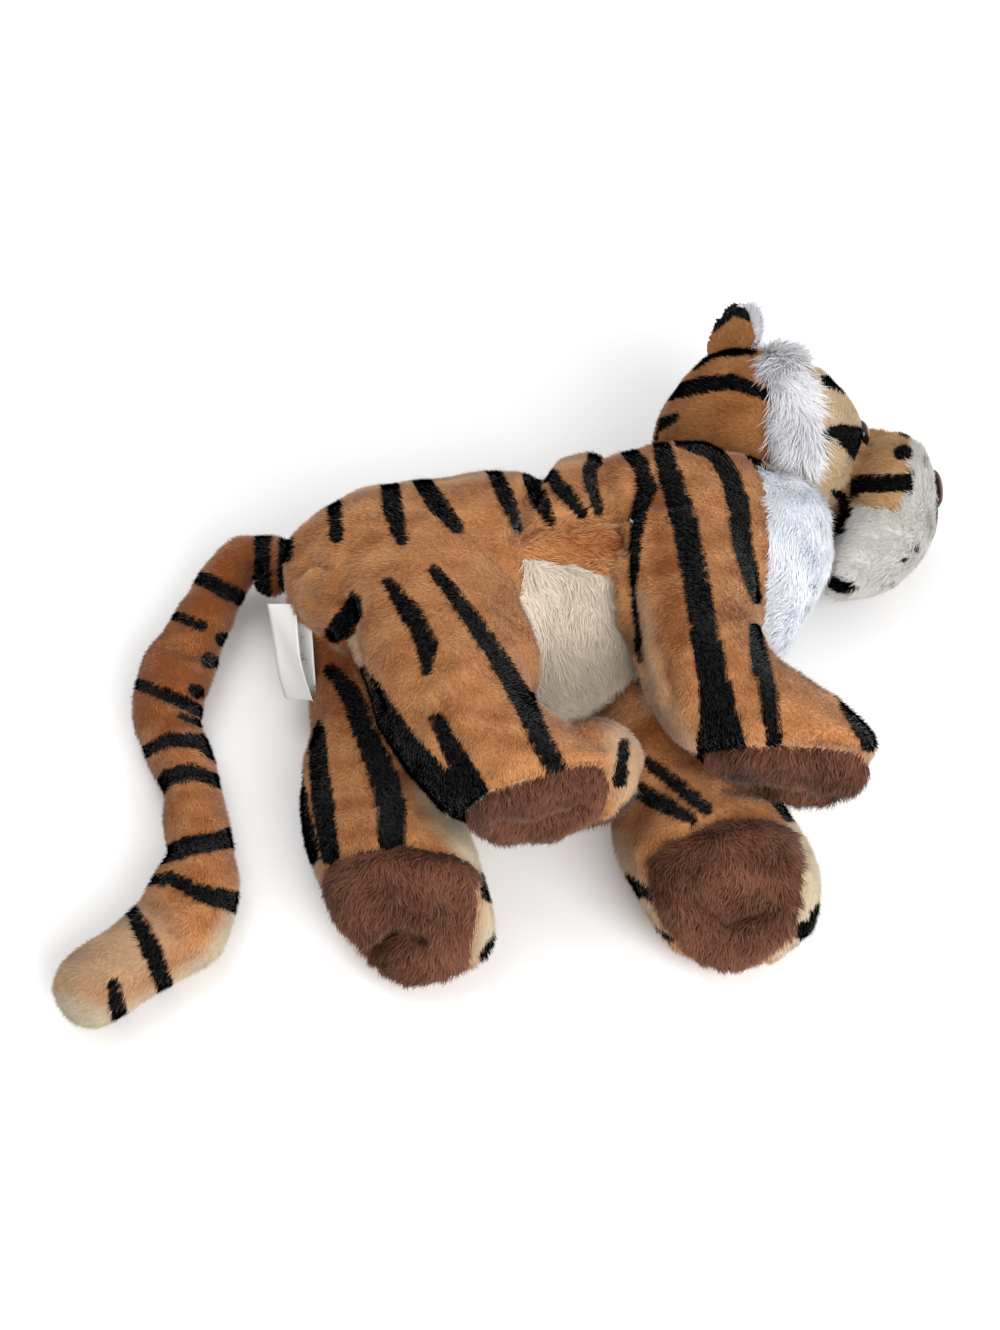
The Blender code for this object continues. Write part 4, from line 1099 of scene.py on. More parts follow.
# Fillings stay this far inside their cover, so that none shows in a fold
WAD_GAP = 6 * MM
# The regions of the body's cover: four soles from SOLE_OF and four legs from LEG_OF, in LEGS' order
SADDLE, BELLY, BIB, SOLE_OF, LEG_OF, FLANK = 0, 1, 2, 3, 7, 11
BODY_MIDDLE = 49.5 * MM
# Below this the far legs show past the near ones
FAR_LEG_TOP = -45 * MM


def beyond(spots, line, upright=True):
    """Which spots lie right of an upright line, or below a level one."""
    corners = np.array(line, float)
    if upright:
        return spots[:, 0] > np.interp(spots[:, 1], corners[:, 1], corners[:, 0])
    return spots[:, 1] > np.interp(spots[:, 0], corners[:, 0], corners[:, 1])


def body_shape():
    """Body and legs as one smooth surface with its seams drawn in, and the region of each face."""
    if "body" in SHAPES:
        return SHAPES["body"]
    x0, y0, _ = FRAME_MIDDLE
    pads = [((-40, -2, 68), (50, 43, 30)), ((-40, -2, 31), (50, 43, 28))]
    pads += [((80, 9, 70), (44, 46, 30)), ((80, 9, 29), (44, 46, 28))]
    pads += [((-8, -45, 70), (24, 45, 24)), ((37, -106, 72), (17, 17, 20))]
    lumps = [ball((x0 + x * MM, y0 + y * MM, z * MM), [h * MM for h in half]) for (x, y, z), half in pads]
    names = ["body_skin", "belly_panel", "chest_bib", "body_filling"]
    groups = [names]
    groups += [[f"{leg}_sole"] for leg in LEGS] + [[f"{leg}_skin"] for leg in LEGS]
    cover = fused([name for group in groups for name in group] + [f"{leg}_filling" for leg in LEGS], lumps)
    choice = nearest(cover.points, groups).argmin(axis=0)
    x, y, z = (cover.points - FRAME_MIDDLE).T / MM
    near = near_side(cover.points, BODY_MIDDLE)
    spots = pixels(near)
    right = z > BODY_MIDDLE / MM
    back = np.clip((y - 20) / 25, 0, 1)
    raised = np.clip((x - 19) / 8, 0, 1) * np.clip((118 - x) / 30, 0, 1) * back * 5.0
    flank = np.exp(-(((spots - (572, 545)) / (44, 22)) ** 2).sum(axis=1) ** 2)
    raised -= 5.0 * flank * (choice == 0)
    raised += 0.9 * ripple(cover.points, 48 * MM, 31) + 0.4 * ripple(cover.points, 20 * MM, 32)
    cover = Cover(cover.points + cover.normals * (raised * MM)[:, None], cover.faces)
    cover = creased(creased(pulled(cover, BODY_PULLS), CREASES, 5.5, 2.6), FOLDS, 5.0, 5.0)
    near = near_side(cover.points, BODY_MIDDLE)
    spots = pixels(near)

    on_body = choice == 0
    region = np.where(on_body, SADDLE, choice + SOLE_OF - 1)
    behind, ahead = ~beyond(spots, SEAMS["hind"]), beyond(spots, SEAMS["front"])
    between = ~behind & ~ahead
    region = np.where(on_body & between & beyond(spots, SEAMS["saddle"], False), FLANK, region)
    inner = np.degrees(np.arctan2(np.abs(z - BODY_MIDDLE / MM), 5 - y)) < 22
    low = beyond(spots, SEAMS["belly"], False) & (between | (inner & (x > -55)))
    region = np.where(on_body & low, BELLY, region)
    region = np.where(on_body & ~low & ahead, np.where(right, LEG_OF, LEG_OF + 1), region)
    region = np.where(on_body & ~low & behind, np.where(right, LEG_OF + 2, LEG_OF + 3), region)
    region = np.where(on_body & (x > 112) & (y < 42), BIB, region)
    own = pixels(cover.points)
    shows = seen(cover.points, cover.normals)
    for index, leg in enumerate(LEGS):
        whole_leg = (region == SOLE_OF + index) | (region == LEG_OF + index)
        covered = inside(own, SOLES[leg])
        low_end = y < -70
        region = np.where(
            whole_leg & shows & low_end, np.where(covered, SOLE_OF + index, LEG_OF + index), region
        )
    pile = bpy.context.scene.tiger_pile
    notch = np.exp(-(((spots - (543, 466)) / 26) ** 2).sum(axis=1))
    cover = drawn_in(cover, region, (6 + 5 * notch) * MM, pile.seam * (1 + 0.9 * notch))
    SHAPES["body"] = cover, np.sort(region[cover.faces], axis=1)[:, 1]
    return SHAPES["body"]


def leg_motion(leg):
    """The body and the leg, and the stretch from the hip to the shin, that a leg's cover would turn between;
    given these, the cover stays fixed where it is.
    """
    return ("body", leg, (0, -25 * MM, 0), (0, -80 * MM, 0))


def steady(*direction):
    """A flow that runs one way everywhere."""
    return lambda points: np.tile(np.array(direction, float), (len(points), 1))


def coat_flow(points):
    """Backwards over the body, turning down along the legs."""
    down = np.clip((-20 * MM - points[:, 1]) / (60 * MM), 0, 1)[:, None]
    return np.array((-0.8, -0.5, 0.0)) * (1 - down) + np.array((0.05, -1.0, -0.05)) * down


class TigerOperator(bpy.types.Operator):
    """What the tiger's operators share"""

    bl_options = {"REGISTER", "UNDO"}


class TIGER_OT_body(TigerOperator):
    """Sews the saddle, the flanks, the white belly and the bib"""

    bl_idname = "tiger.body"
    bl_label = "Body"

    def execute(self, context):
        colours, kinds = context.scene.tiger_colours, piles()
        cover, region = body_shape()
        coat = plush(
            "Tan cut-pile plush", colours.tan, colours.tan_deep, colours.stripe, 0.3, pale=colours.cream
        )
        black = printed_black("Tan plush, printed black")
        # One white plush twice: painted shade on the belly, painted light from the front on the bib
        white = plush("White long-pile plush", colours.belly, "CFC2B0", None, 0.1, 0.75)
        cool = plush("Cool white long-pile plush", colours.bib, "DDE3EE", None, 0.1, 0.88)

        def marks(points, rng):
            near = near_side(points, BODY_MIDDLE)
            return striped(near, NEAR_SIDE, rng), shaded(near, ZONES["near"])

        saddle = cover.part((region == SADDLE) | (region == FLANK))
        sew("body_saddle", saddle, coat, "body", ("body_skin",), marks)
        saddle = cover.part(region == SADDLE)
        grow("body_saddle_pile", saddle, (coat, black), "body", kinds["short"], coat_flow, marks)
        flank = cover.part(region == FLANK)
        grow(
            "flank_pile",
            flank,
            (coat, black),
            "body",
            kinds["flank"],
            steady(0.9, -0.4, 0.1),
            marks,
        )
        belly = cover.part(region == BELLY)
        sew("belly_cover", belly, white, "body", ("belly_panel",), None)
        upper = belly.points[belly.faces].mean(axis=1)[:, 2] > BODY_MIDDLE
        for name, half in (("belly_right_pile", upper), ("belly_left_pile", ~upper)):
            grow(
                name, belly.part(half), (white,), "body", kinds["belly"], steady(0.3, -1, -0.3)
            )
        bib = cover.part(region == BIB)
        sew("bib_cover", bib, cool, "body", ("chest_bib",), None)
        grow("bib_pile", bib, (cool,), "body", kinds["bib"], steady(-0.25, -1, 0.1))
        return {"FINISHED"}


class TIGER_OT_legs(TigerOperator):
    """Sews the four leg panels and their soles"""

    bl_idname = "tiger.legs"
    bl_label = "Legs"

    def execute(self, context):
        colours, kinds = context.scene.tiger_colours, piles()
        cover, region = body_shape()
        coat = plush(
            "Tan cut-pile plush, legs", colours.tan, colours.tan_deep, colours.stripe, 0.3, pale=colours.cream
        )
        black = printed_black("Tan plush, printed black, legs")
        brown = plush("Brown combed plush", colours.sole, "331910", None, 0.08, 0.58)
        for index, leg in enumerate(LEGS):
            near_leg, front = leg.endswith("right"), leg.startswith("front")
            lines = NEAR_SIDE if near_leg else FAR_FRONT_LEG if front else FAR_HIND_LEG
            zones = ZONES["front" if front else "hind"]
            low, high = (np.array(corner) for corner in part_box(f"{leg}_sole"))
            middle = low[2] + 0.25 * (high - low)[2]

            def marks(points, rng, lines=lines, middle=middle, near_leg=near_leg, zones=zones):
                down = np.clip((5 * MM - points[:, 1]) / (60 * MM), 0, 1)
                mirror = BODY_MIDDLE + (middle - BODY_MIDDLE) * down
                moved = points.copy()
                moved[:, 2] = np.maximum(points[:, 2], 2 * mirror - points[:, 2])
                if near_leg:
                    return striped(moved, lines, rng), shaded(moved, ZONES["near"])
                near = near_side(points, BODY_MIDDLE)
                rear = inside(pixels(points), REAR_WINDOW) & (points[:, 2] < BODY_MIDDLE)
                above = (points[:, 1] > FAR_LEG_TOP) & ~rear
                thinner = 10 * np.clip(1 - np.abs(points[:, 1] - FAR_LEG_TOP) / (12 * MM), 0, 1) * ~rear
                hidden = striped(near, NEAR_SIDE, rng, thinner)
                on = striped(moved, lines, rng, thinner)
                shade = np.where(above, shaded(near, ZONES["near"]), shaded(moved, zones))
                return np.where(above, hidden, on), shade

            panel = cover.part(region == LEG_OF + index)
            bend = leg_motion(leg)
            sew(f"{leg}_cover", panel, coat, bend, (f"{leg}_skin",), marks)
            upper = panel.points[panel.faces].mean(axis=1)[:, 1] > -35 * MM
            for half, own in (("upper", upper), ("lower", ~upper)):
                part = panel.part(own)
                grow(
                    f"{leg}_{half}_pile",
                    part,
                    (coat, black),
                    bend,
                    kinds["short"],
                    coat_flow,
                    marks,
                )
            sole = cover.part(region == SOLE_OF + index)
            sew(f"{leg}_sole_cover", sole, brown, leg, (f"{leg}_sole",))
            grow(
                f"{leg}_sole_pile",
                sole,
                (brown,),
                leg,
                kinds["sole"],
                steady(-0.1, -0.79, -0.61),
            )
        return {"FINISHED"}


def head_shape():
    """Skull, cheeks and muzzle as one surface with its seams drawn in, and each face's region."""
    if "head" in SHAPES:
        return SHAPES["head"]
    groups = [
        ["head_skin"],
        ["face_skin"],
        ["cheek_ruff_right", "cheek_ruff_left"],
        ["muzzle_skin"],
        ["upper_muzzle_skin"],
    ]
    centre, axes = head_frame()
    turn = Matrix(axes.T.tolist()).to_4x4()
    lumps = [ball(from_head(np.array((54, 7, 0)) * MM), np.array((25, 31, 11)) * MM, turn)]
    for across, down, *half in ((868, 556, 17, 14, 24), (853, 567, 13, 11, 19), (843, 580, 9, 8, 12)):
        lumps.append(ball(spot(across, down, 38), np.array(half) * MM))
    solids = [name for group in groups for name in group] + ["head_filling", "muzzle_filling"]
    cover = pulled(fused(solids, lumps, 2.0 * MM, 16), HEAD_PULLS)
    cover = Cover(cover.points - cover.normals * 1.0 * MM, cover.faces)
    region = nearest(cover.points, groups).argmin(axis=0)
    mirrored = head_side(cover.points)
    far = dot(cover.points - centre, axes[2]) < 0
    normals = np.where(
        far[:, None], cover.normals - 2 * np.outer(cover.normals @ axes[2], axes[2]), cover.normals
    )
    shows, spots = seen(mirrored, normals), pixels(mirrored)
    ahead = dot(mirrored - centre, axes[0])
    in_ruff, in_bridge = inside(spots, HEAD_PANELS["ruff"]), inside(spots, HEAD_PANELS["bridge"])
    region = np.where(shows & (region == 2) & ~in_ruff, np.where(spots[:, 0] < 785, 0, 1), region)
    region = np.where(shows & in_ruff & (ahead < 40 * MM), 2, region)
    region = np.where(shows & in_bridge, 4, region)
    region = np.where(shows & (region == 4) & ~in_bridge & (spots[:, 0] > 866), 3, region)
    region = np.where(
        shows & (region == 4) & ~in_bridge & (spots[:, 0] <= 866) & (spots[:, 1] < 480), 1, region
    )
    region = np.where(shows & (region == 3) & (spots[:, 1] < 500) & (spots[:, 0] < 852), 1, region)
    cover = drawn_in(cover, region, 4 * MM, 1.2 * MM)
    SHAPES["head"] = cover, np.sort(region[cover.faces], axis=1)[:, 1]
    return SHAPES["head"]


def head_flow(points):
    """Away from the nose, over the skull and down the cheeks."""
    _, axes = head_frame()
    nose = from_head(np.array((88, 12, 0)) * MM)
    return unit(points - nose) * 0.6 - axes[0] * 0.7


def eye_seats():
    """Where each eye sits on the head's cover, and which way it looks."""
    if "eyes" not in SHAPES:
        centre, axes = head_frame()
        cover, _ = head_shape()
        tree = BVHTree.FromPolygons(cover.points.tolist(), cover.faces.tolist())
        found = {}
        for name, mirror in (("eye_right", 1), ("eye_left", -1)):
            share = np.array((0, EYE_RISE, mirror * EYE_ASIDE)) / SKULL_HALF
            share[0] = math.sqrt(1 - dot(share, share))
            out = unit((share / SKULL_HALF) @ axes)
            found[name] = surface_point(tree, centre + (share * SKULL_HALF) @ axes, out)[0], out
        SHAPES["eyes"] = found
    return SHAPES["eyes"]


def face_trim(points):
    """Pile is cut short round the eyes, the nose and the mouth."""
    share = np.ones(len(points))
    for seat, _ in eye_seats().values():
        share *= np.clip((np.linalg.norm(points - seat, axis=1) - 6 * MM) / (7 * MM), 0, 1)
    nose = from_head(MUZZLE_STEP + MUZZLE_HALF * (math.cos(NOSE_LIFT), math.sin(NOSE_LIFT), 0))
    share *= np.clip((np.linalg.norm(points - nose, axis=1) - 5 * MM) / (12 * MM), 0.0, 1)
    return share


class TIGER_OT_head(TigerOperator):
    """Sews the head, the face, the cheek ruffs and the muzzle"""

    bl_idname = "tiger.head"
    bl_label = "Head"

    def execute(self, context):
        colours, kinds = context.scene.tiger_colours, piles()
        cover, region = head_shape()
        brown = plush("Brown orange cut-pile plush", colours.head, "844A1F", colours.stripe)
        pale = plush("Pale tan cut-pile plush", colours.face, "CBAA80", colours.stripe)
        orange = plush("Tan cut-pile plush, muzzle", "E3BD90", "B07C48", colours.stripe)
        black = printed_black("Face plush, printed black")
        # The muzzle's greyer white is painted shade
        white = plush("White long-pile plush, muzzle", colours.muzzle, "BDB9B4", colours.stripe, 0.1, 0.85)
        cool = plush("Cool white long-pile plush, cheeks", colours.ruff, "CFD0D6", None, 0.1, 0.85)

        tree = BVHTree.FromPolygons(cover.points.tolist(), cover.faces.tolist())
        dots = [(spot(*CHIN), CHIN_RADIUS)]
        dots += [(facing_point(tree, *place), WHISKER_RADIUS) for place in WHISKERS]

        def marks_of(lines):
            def marks(points, rng):
                side = head_side(points)
                on = striped(side, lines, rng)
                for middle, radius in dots if lines is MUZZLE_MARKS else ():
                    away = np.linalg.norm(side - middle, axis=1) + 0.4 * MM * rng.normal(size=len(points))
                    on = np.maximum(on, away < radius)
                return on, np.zeros(len(points))

            return marks

        panels = (
            ("head_back", 0, brown, "tan_plush", "short", HEAD_STRIPES, ("head_skin",)),
            ("face", 1, pale, "face_plush", "short", HEAD_STRIPES, ("face_skin",)),
            ("muzzle", 3, white, "white_pile", "muzzle", MUZZLE_MARKS, ("muzzle_skin",)),
            ("muzzle_top", 4, orange, "face_plush", "short", MUZZLE_MARKS, ("upper_muzzle_skin",)),
        )
        for name, index, material, slot, kind, lines, stands_for in panels:
            panel = cover.part(region == index)
            marks = marks_of(lines)
            sew(f"{name}_cover", panel, material, "head", stands_for, marks)
            grow(
                f"{name}_pile",
                panel,
                (material, black),
                "head",
                kinds[kind],
                head_flow,
                marks,
                face_trim,
            )
        ruffs = cover.part(region == 2)
        centre, axes = head_frame()
        far = dot(ruffs.points[ruffs.faces].mean(axis=1) - centre, axes[2])
        for name, own in (("cheek_ruff_right", far > 0), ("cheek_ruff_left", far <= 0)):
            ruff = ruffs.part(own)
            sew(f"{name}_cover", ruff, cool, "head", (name,))

            def flow(points):
                spots = pixels(head_side(points))
                middle = np.interp(spots[:, 1], (325, 400, 470), (768, 790, 800))
                aside = np.clip((spots[:, 0] - middle) / 14, -0.1, 1)[:, None]
                return (1.2 * aside + 0.1) * axes[0] - 0.8 * axes[1]

            grow(f"{name}_pile", ruff, (cool,), "head", kinds["ruff"], flow)
        return {"FINISHED"}


class TIGER_OT_ears(TigerOperator):
    """Sews each ear's back and its white lining"""

    bl_idname = "tiger.ears"
    bl_label = "Ears"

    def execute(self, context):
        colours, kinds = context.scene.tiger_colours, piles()
        brown = plush("Brown orange cut-pile plush, ears", colours.head, "844A1F", colours.stripe)
        black = printed_black("Ear plush, printed black")
        cool = plush("Cool white pile, ear linings", colours.ruff, "CFD0D6", None, 0.1, 0.85)
        _, axes = head_frame()
        for ear in ("ear_right", "ear_left"):
            groups = [[f"{ear}_back"], [f"{ear}_lining"]]
            cover = fused([f"{ear}_back", f"{ear}_lining"], voxel=1.3 * MM, rounds=9)
            region = nearest(cover.points, groups).argmin(axis=0)
            lower = np.array((-0.4, -4.2, -3.2)) * MM
            cover = Cover(cover.points - cover.normals * 1.2 * MM + lower, cover.faces)
            spots = pixels(head_side(cover.points))
            edge = np.interp(spots[:, 1], (297, 312, 345), (736, 748, 757))
            beyond_edge = spots[:, 0] > edge
            behind = cover.normals @ axes[0] < 0.3
            if ear == "ear_right":
                behind |= seen(cover.points, cover.normals)
            region = np.where(behind & ~beyond_edge, 0, np.where(beyond_edge, 1, region))
            cover = drawn_in(cover, region, 2.5 * MM, 0.8 * MM)
            region = np.sort(region[cover.faces], axis=1)[:, 1]

            def marks(points, rng):
                return striped(head_side(points), EAR_STRIPES, rng), np.zeros(len(points))

            flow = steady(*(axes[1] * 0.9 + axes[0] * 0.6))
            back, lining = cover.part(region == 0), cover.part(region == 1)
            sew(f"{ear}_back_cover", back, brown, ear, (f"{ear}_back",), marks)
            grow(f"{ear}_back_pile", back, (brown, black), ear, kinds["ear"], flow, marks)
            sew(f"{ear}_lining_cover", lining, cool, ear, (f"{ear}_lining",))
            grow(f"{ear}_lining_pile", lining, (cool,), ear, kinds["muzzle"], flow)
        return {"FINISHED"}


def tail_shape():
    """The tail as one surface, the bends and ends of its line, and how far along points lie."""
    bends = [JOINTS[f"{name}_bend"] for name in TAIL]
    end = np.array(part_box("tail_tip_skin")[0])
    end = np.array((end[0], end[1], bends[3][2])) + 6 * MM
    line = bends + [end]
    lengths = np.array([math.dist(a, b) for a, b in zip(line, line[1:])])
    starts = np.concatenate([[0.0], np.cumsum(lengths)])
    runs = np.array([unit(b - a) for a, b in zip(line, line[1:])])

    def way(points):
        """How far along the tail each point lies, from its root."""
        off = points[:, None] - np.array(line[:-1])[None]
        share = np.clip((off * runs).sum(axis=2), 0, lengths)
        away = np.linalg.norm(off - share[:, :, None] * runs, axis=2)
        best = away.argmin(axis=1)
        return starts[best] + share[np.arange(len(points)), best]

    if "tail" not in SHAPES:
        lumps = [ball(bend, np.full(3, 14 * MM)) for bend in bends[1:]]
        lumps.append(ball(spot(271, 578, 31), np.array((9, 9, 10)) * MM))
        cover = fused(
            [f"{name}_{kind}" for name in TAIL for kind in ("skin", "filling")], lumps, 2.0 * MM, 10
        )
        fuller = np.interp(
            way(cover.points) / MM, (0, 30, 90, 180, 215, 260), (-1.5, -1.5, -0.6, 0.6, 1.6, 0.8)
        )
        fuller += 0.7 * ripple(cover.points, 30 * MM, 33)
        cover = Cover(cover.points + cover.normals * (fuller * MM)[:, None], cover.faces)
        SHAPES["tail"] = creased(creased(pulled(cover, TAIL_PULLS), CREASES, 5.5, 2.6), FOLDS, 5.0, 3.5)
    return SHAPES["tail"], line, starts, runs, way


class TIGER_OT_tail(TigerOperator):
    """Sews the tail in stretches, one for each of its parts"""

    bl_idname = "tiger.tail"
    bl_label = "Tail"

    def execute(self, context):
        colours, kinds = context.scene.tiger_colours, piles()
        coat = plush(
            "Tan cut-pile plush, tail", colours.tan, colours.tan_deep, colours.stripe, 0.3, pale=colours.cream
        )
        black = printed_black("Tan plush, printed black, tail")
        cover, line, starts, runs, way = tail_shape()

        def flow(points):
            """Along the tail, towards its tip."""
            middles = (starts[:-1] + starts[1:]) / 2
            return np.stack([np.interp(way(points), middles, runs[:, axis]) for axis in range(3)], axis=1)

        def marks(points, rng):
            mirrored = points.copy()
            level = np.interp(way(points), starts, [bend[2] for bend in line])
            mirrored[:, 2] = np.maximum(points[:, 2], 2 * (level - 8 * MM) - points[:, 2])
            return striped(mirrored, TAIL_BANDS, rng), shaded(mirrored, ZONES["tail"])

        stretch = np.searchsorted((starts[:3] + starts[1:4]) / 2, way(cover.points))
        stretch = np.sort(stretch[cover.faces], axis=1)[:, 1]
        before = "body"
        for i, name in enumerate(TAIL):
            panel = cover.part(stretch == i)
            run = unit(line[i + 1] - (line[i - 1] if i else line[i] * 2 - line[i + 1])) * 12 * MM
            motion = (before, name, tuple(line[i] - run), tuple(line[i] + run))
            sew(f"{name}_cover", panel, coat, motion, (f"{name}_skin",), marks)
            grow(f"{name}_pile", panel, (coat, black), motion, kinds["short"], flow, marks)
            before = name
        return {"FINISHED"}


def turned(centre, axis, profile, sides=48):
    """Points and faces of a shape turned about an axis, from distances along it and radii."""
    across = unit(np.cross(axis, (0.0, 0.0, 1.0)))
    over = np.cross(axis, across)
    angles = np.arange(sides) * 2 * math.pi / sides
    ring = np.outer(np.cos(angles), across) + np.outer(np.sin(angles), over)
    points = np.concatenate([centre + axis * along + ring * radius for along, radius in profile])
    faces = []
    for step in range(len(profile) - 1):
        for i in range(sides):
            j = (i + 1) % sides
            a, b = step * sides, (step + 1) * sides
            faces += [(a + i, a + j, b + j), (a + i, b + j, b + i)]
    return points, np.array(faces)


class TIGER_OT_eyes(TigerOperator):
    """Moulds the two eyes and finishes the washers behind them"""

    bl_idname = "tiger.eyes"
    bl_label = "Eyes"

    def execute(self, context):
        colours = context.scene.tiger_colours
        iris = moulded("Gloss moulded plastic, amber", colours.iris, 0.08)
        pupil = moulded("Gloss moulded plastic, black", "0A0909", 0.06)
        washer = moulded("Moulded polythene, natural", "E4E4DE", 0.45)
        radius, proud, raised = 6.2 * MM, 3.4 * MM, 0.3 * MM
        for name, (seat, normal) in eye_seats().items():
            profile = [
                (-9 * MM, 0.2 * MM), (-9 * MM, 2 * MM), (raised - 0.6 * MM, 2 * MM),
                (raised - 0.6 * MM, radius),
            ]
            for step in range(13):
                angle = math.pi / 2 * step / 12
                profile.append((raised + proud * math.sin(angle), max(radius * math.cos(angle), 0.02 * MM)))
            points, faces = turned(seat, normal, profile)
            eye = shown(
                name + "_moulding", mesh_of(name, points, faces), iris, "head", (name,)
            )
            eye.data.materials.append(pupil)
            middle = points[faces].mean(axis=1) - seat
            wide = np.linalg.norm(middle - np.outer(middle @ normal, normal), axis=1)
            dark = (wide < 3.3 * MM) | (wide > 4.7 * MM) | (middle @ normal < raised)
            eye.data.polygons.foreach_set("material_index", dark.astype(np.int32))
            back = frame["nodes"][f"{name}_washer"]
            back.data.materials.clear()
            back.data.materials.append(washer)
        return {"FINISHED"}


def surface_point(tree, point, direction):
    """Where a line from outside meets a cover, and the cover's normal there."""
    start = Vector(point + direction * 60 * MM)
    hit, normal, _, _ = tree.ray_cast(start, -Vector(direction))
    if hit is None:
        raise RuntimeError("a fitting or a stitched line misses the head")
    return np.array(hit), np.array(normal)


class TIGER_OT_nose(TigerOperator):
    """Embroiders the nose and the mouth"""

    bl_idname = "tiger.nose"
    bl_label = "Nose and mouth"

    def execute(self, context):
        colours = context.scene.tiger_colours
        satin = cloth("Rayon satin stitch, brown", colours.nose, 0.5 * MM, 0.4, 0.3, 0.5)
        thread = cloth("Rayon thread, black", "1A1718", 0.4 * MM, 0.45, 0.2, 0.5)
        cover, _ = head_shape()
        tree = BVHTree.FromPolygons(cover.points.tolist(), cover.faces.tolist())
        _, axes = head_frame()
        out = axes[0] * math.cos(NOSE_LIFT) + axes[1] * math.sin(NOSE_LIFT)
        rise = axes[1] * math.cos(NOSE_LIFT) - axes[0] * math.sin(NOSE_LIFT)
        seat = from_head(MUZZLE_STEP + MUZZLE_HALF * (math.cos(NOSE_LIFT), math.sin(NOSE_LIFT), 0))
        seat = surface_point(tree, seat, out)[0]
        half_wide, half_high, proud = 11 * MM, 7 * MM, 2.2 * MM
        rows, columns = 26, 72
        points, faces = [], []
        for row in range(rows + 1):
            share = row / rows
            for column in range(columns):
                bearing = 2 * math.pi * column / columns
                across, up = math.cos(bearing), math.sin(bearing)
                wide = half_wide * (1 + 0.28 * up) * share
                high = half_high * (1 if up > 0 else 1.15) * share
                stitch = 0.22 * MM * abs(math.sin(math.pi * across * wide / (0.75 * MM)))
                level = proud * math.sqrt(max(1 - share**2.2, 0)) + stitch * (1 - share**6)
                place = seat + axes[2] * across * wide + rise * up * high
                points.append(place + out * (level - 1.6 * MM * share**2 + 0.2 * MM))
        for row in range(rows):
            for column in range(columns):
                after = (column + 1) % columns
                a, b = row * columns, (row + 1) * columns
                faces += [(a + column, b + column, b + after), (a + column, b + after, a + after)]
        data = mesh_of("nose", np.array(points), np.array(faces))
        nose = shown("nose_embroidery", data, satin, "head", ("nose",))
        nose.modifiers.new("backing", "SOLIDIFY").thickness = 0.8 * MM
        lines = {
            "mouth_middle_stitch": [(0, -7.5), (0, -12), (0, -17)],
            "mouth_right_stitch": [(0, -17), (5, -20.5), (11, -21), (16, -18.5)],
            "mouth_left_stitch": [(0, -17), (-5, -20.5), (-11, -21), (-16, -18.5)],
        }
        for name, steps in lines.items():
            curve = bpy.data.curves.new(name, "CURVE")
            curve.dimensions, curve.bevel_depth, curve.bevel_resolution = "3D", 0.8 * MM, 3
            curve.use_fill_caps = True
            spline = curve.splines.new("POLY")
            spots = []
            for (x0, y0), (x1, y1) in zip(steps, steps[1:]):
                spots += [(x0 + (x1 - x0) * t, y0 + (y1 - y0) * t) for t in np.linspace(0, 1, 9)[:-1]]
            spots.append(steps[-1])
            spline.points.add(len(spots) - 1)
            for i, (across, up) in enumerate(spots):
                aim = seat + axes[2] * across * MM + rise * up * MM
                hit, normal = surface_point(tree, aim, unit(out + axes[0] * 0.6))
                spline.points[i].co = (*(hit + normal * 1.2 * MM), 1)
            obj = bpy.data.objects.new(name, curve)
            context.scene.collection.objects.link(obj)
            curve.materials.append(thread)
            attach(obj, "head")
        return {"FINISHED"}


class TIGER_OT_fillings(TigerOperator):
    """Stuffs every part with its own wad of fibre, and the body with its bag of pellets"""

    bl_idname = "tiger.fillings"
    bl_label = "Fillings"

    def execute(self, context):
        colours = context.scene.tiger_colours
        wool = fibre("Carded polyester fibre", colours.filling)
        bag = cloth("Thin woven polyester", "D6D6CF", 0.6 * MM)
        body, head, tail = body_shape()[0], head_shape()[0], tail_shape()[0]
        wads = [("body_filling", "body", body), ("pellet_bag", "body", body)]
        wads += [("head_filling", "head", head), ("muzzle_filling", "head", head)]
        wads += [(f"{leg}_filling", leg_motion(leg), body) for leg in LEGS]
        wads += [(f"{name}_filling", name, tail) for name in TAIL]
        for name, motion, cover in wads:
            wad = fused([name], voxel=3.2 * MM, rounds=5)
            lumpy = 0.9 * MM * ripple(wad.points, 11 * MM, 21) - 1.2 * MM
            points = wad.points + wad.normals * lumpy[:, None]
            for _ in range(2):
                points = tucked(points, cover, WAD_GAP)
            points[:, 2] = np.maximum(points[:, 2], 1.5 * MM)
            material = bag if name == "pellet_bag" else wool
            piece = "pellet_pouch" if name == "pellet_bag" else name.replace("filling", "wad")
            obj = shown(piece, mesh_of(piece, points, wad.faces), material, motion, (name,))
        return {"FINISHED"}


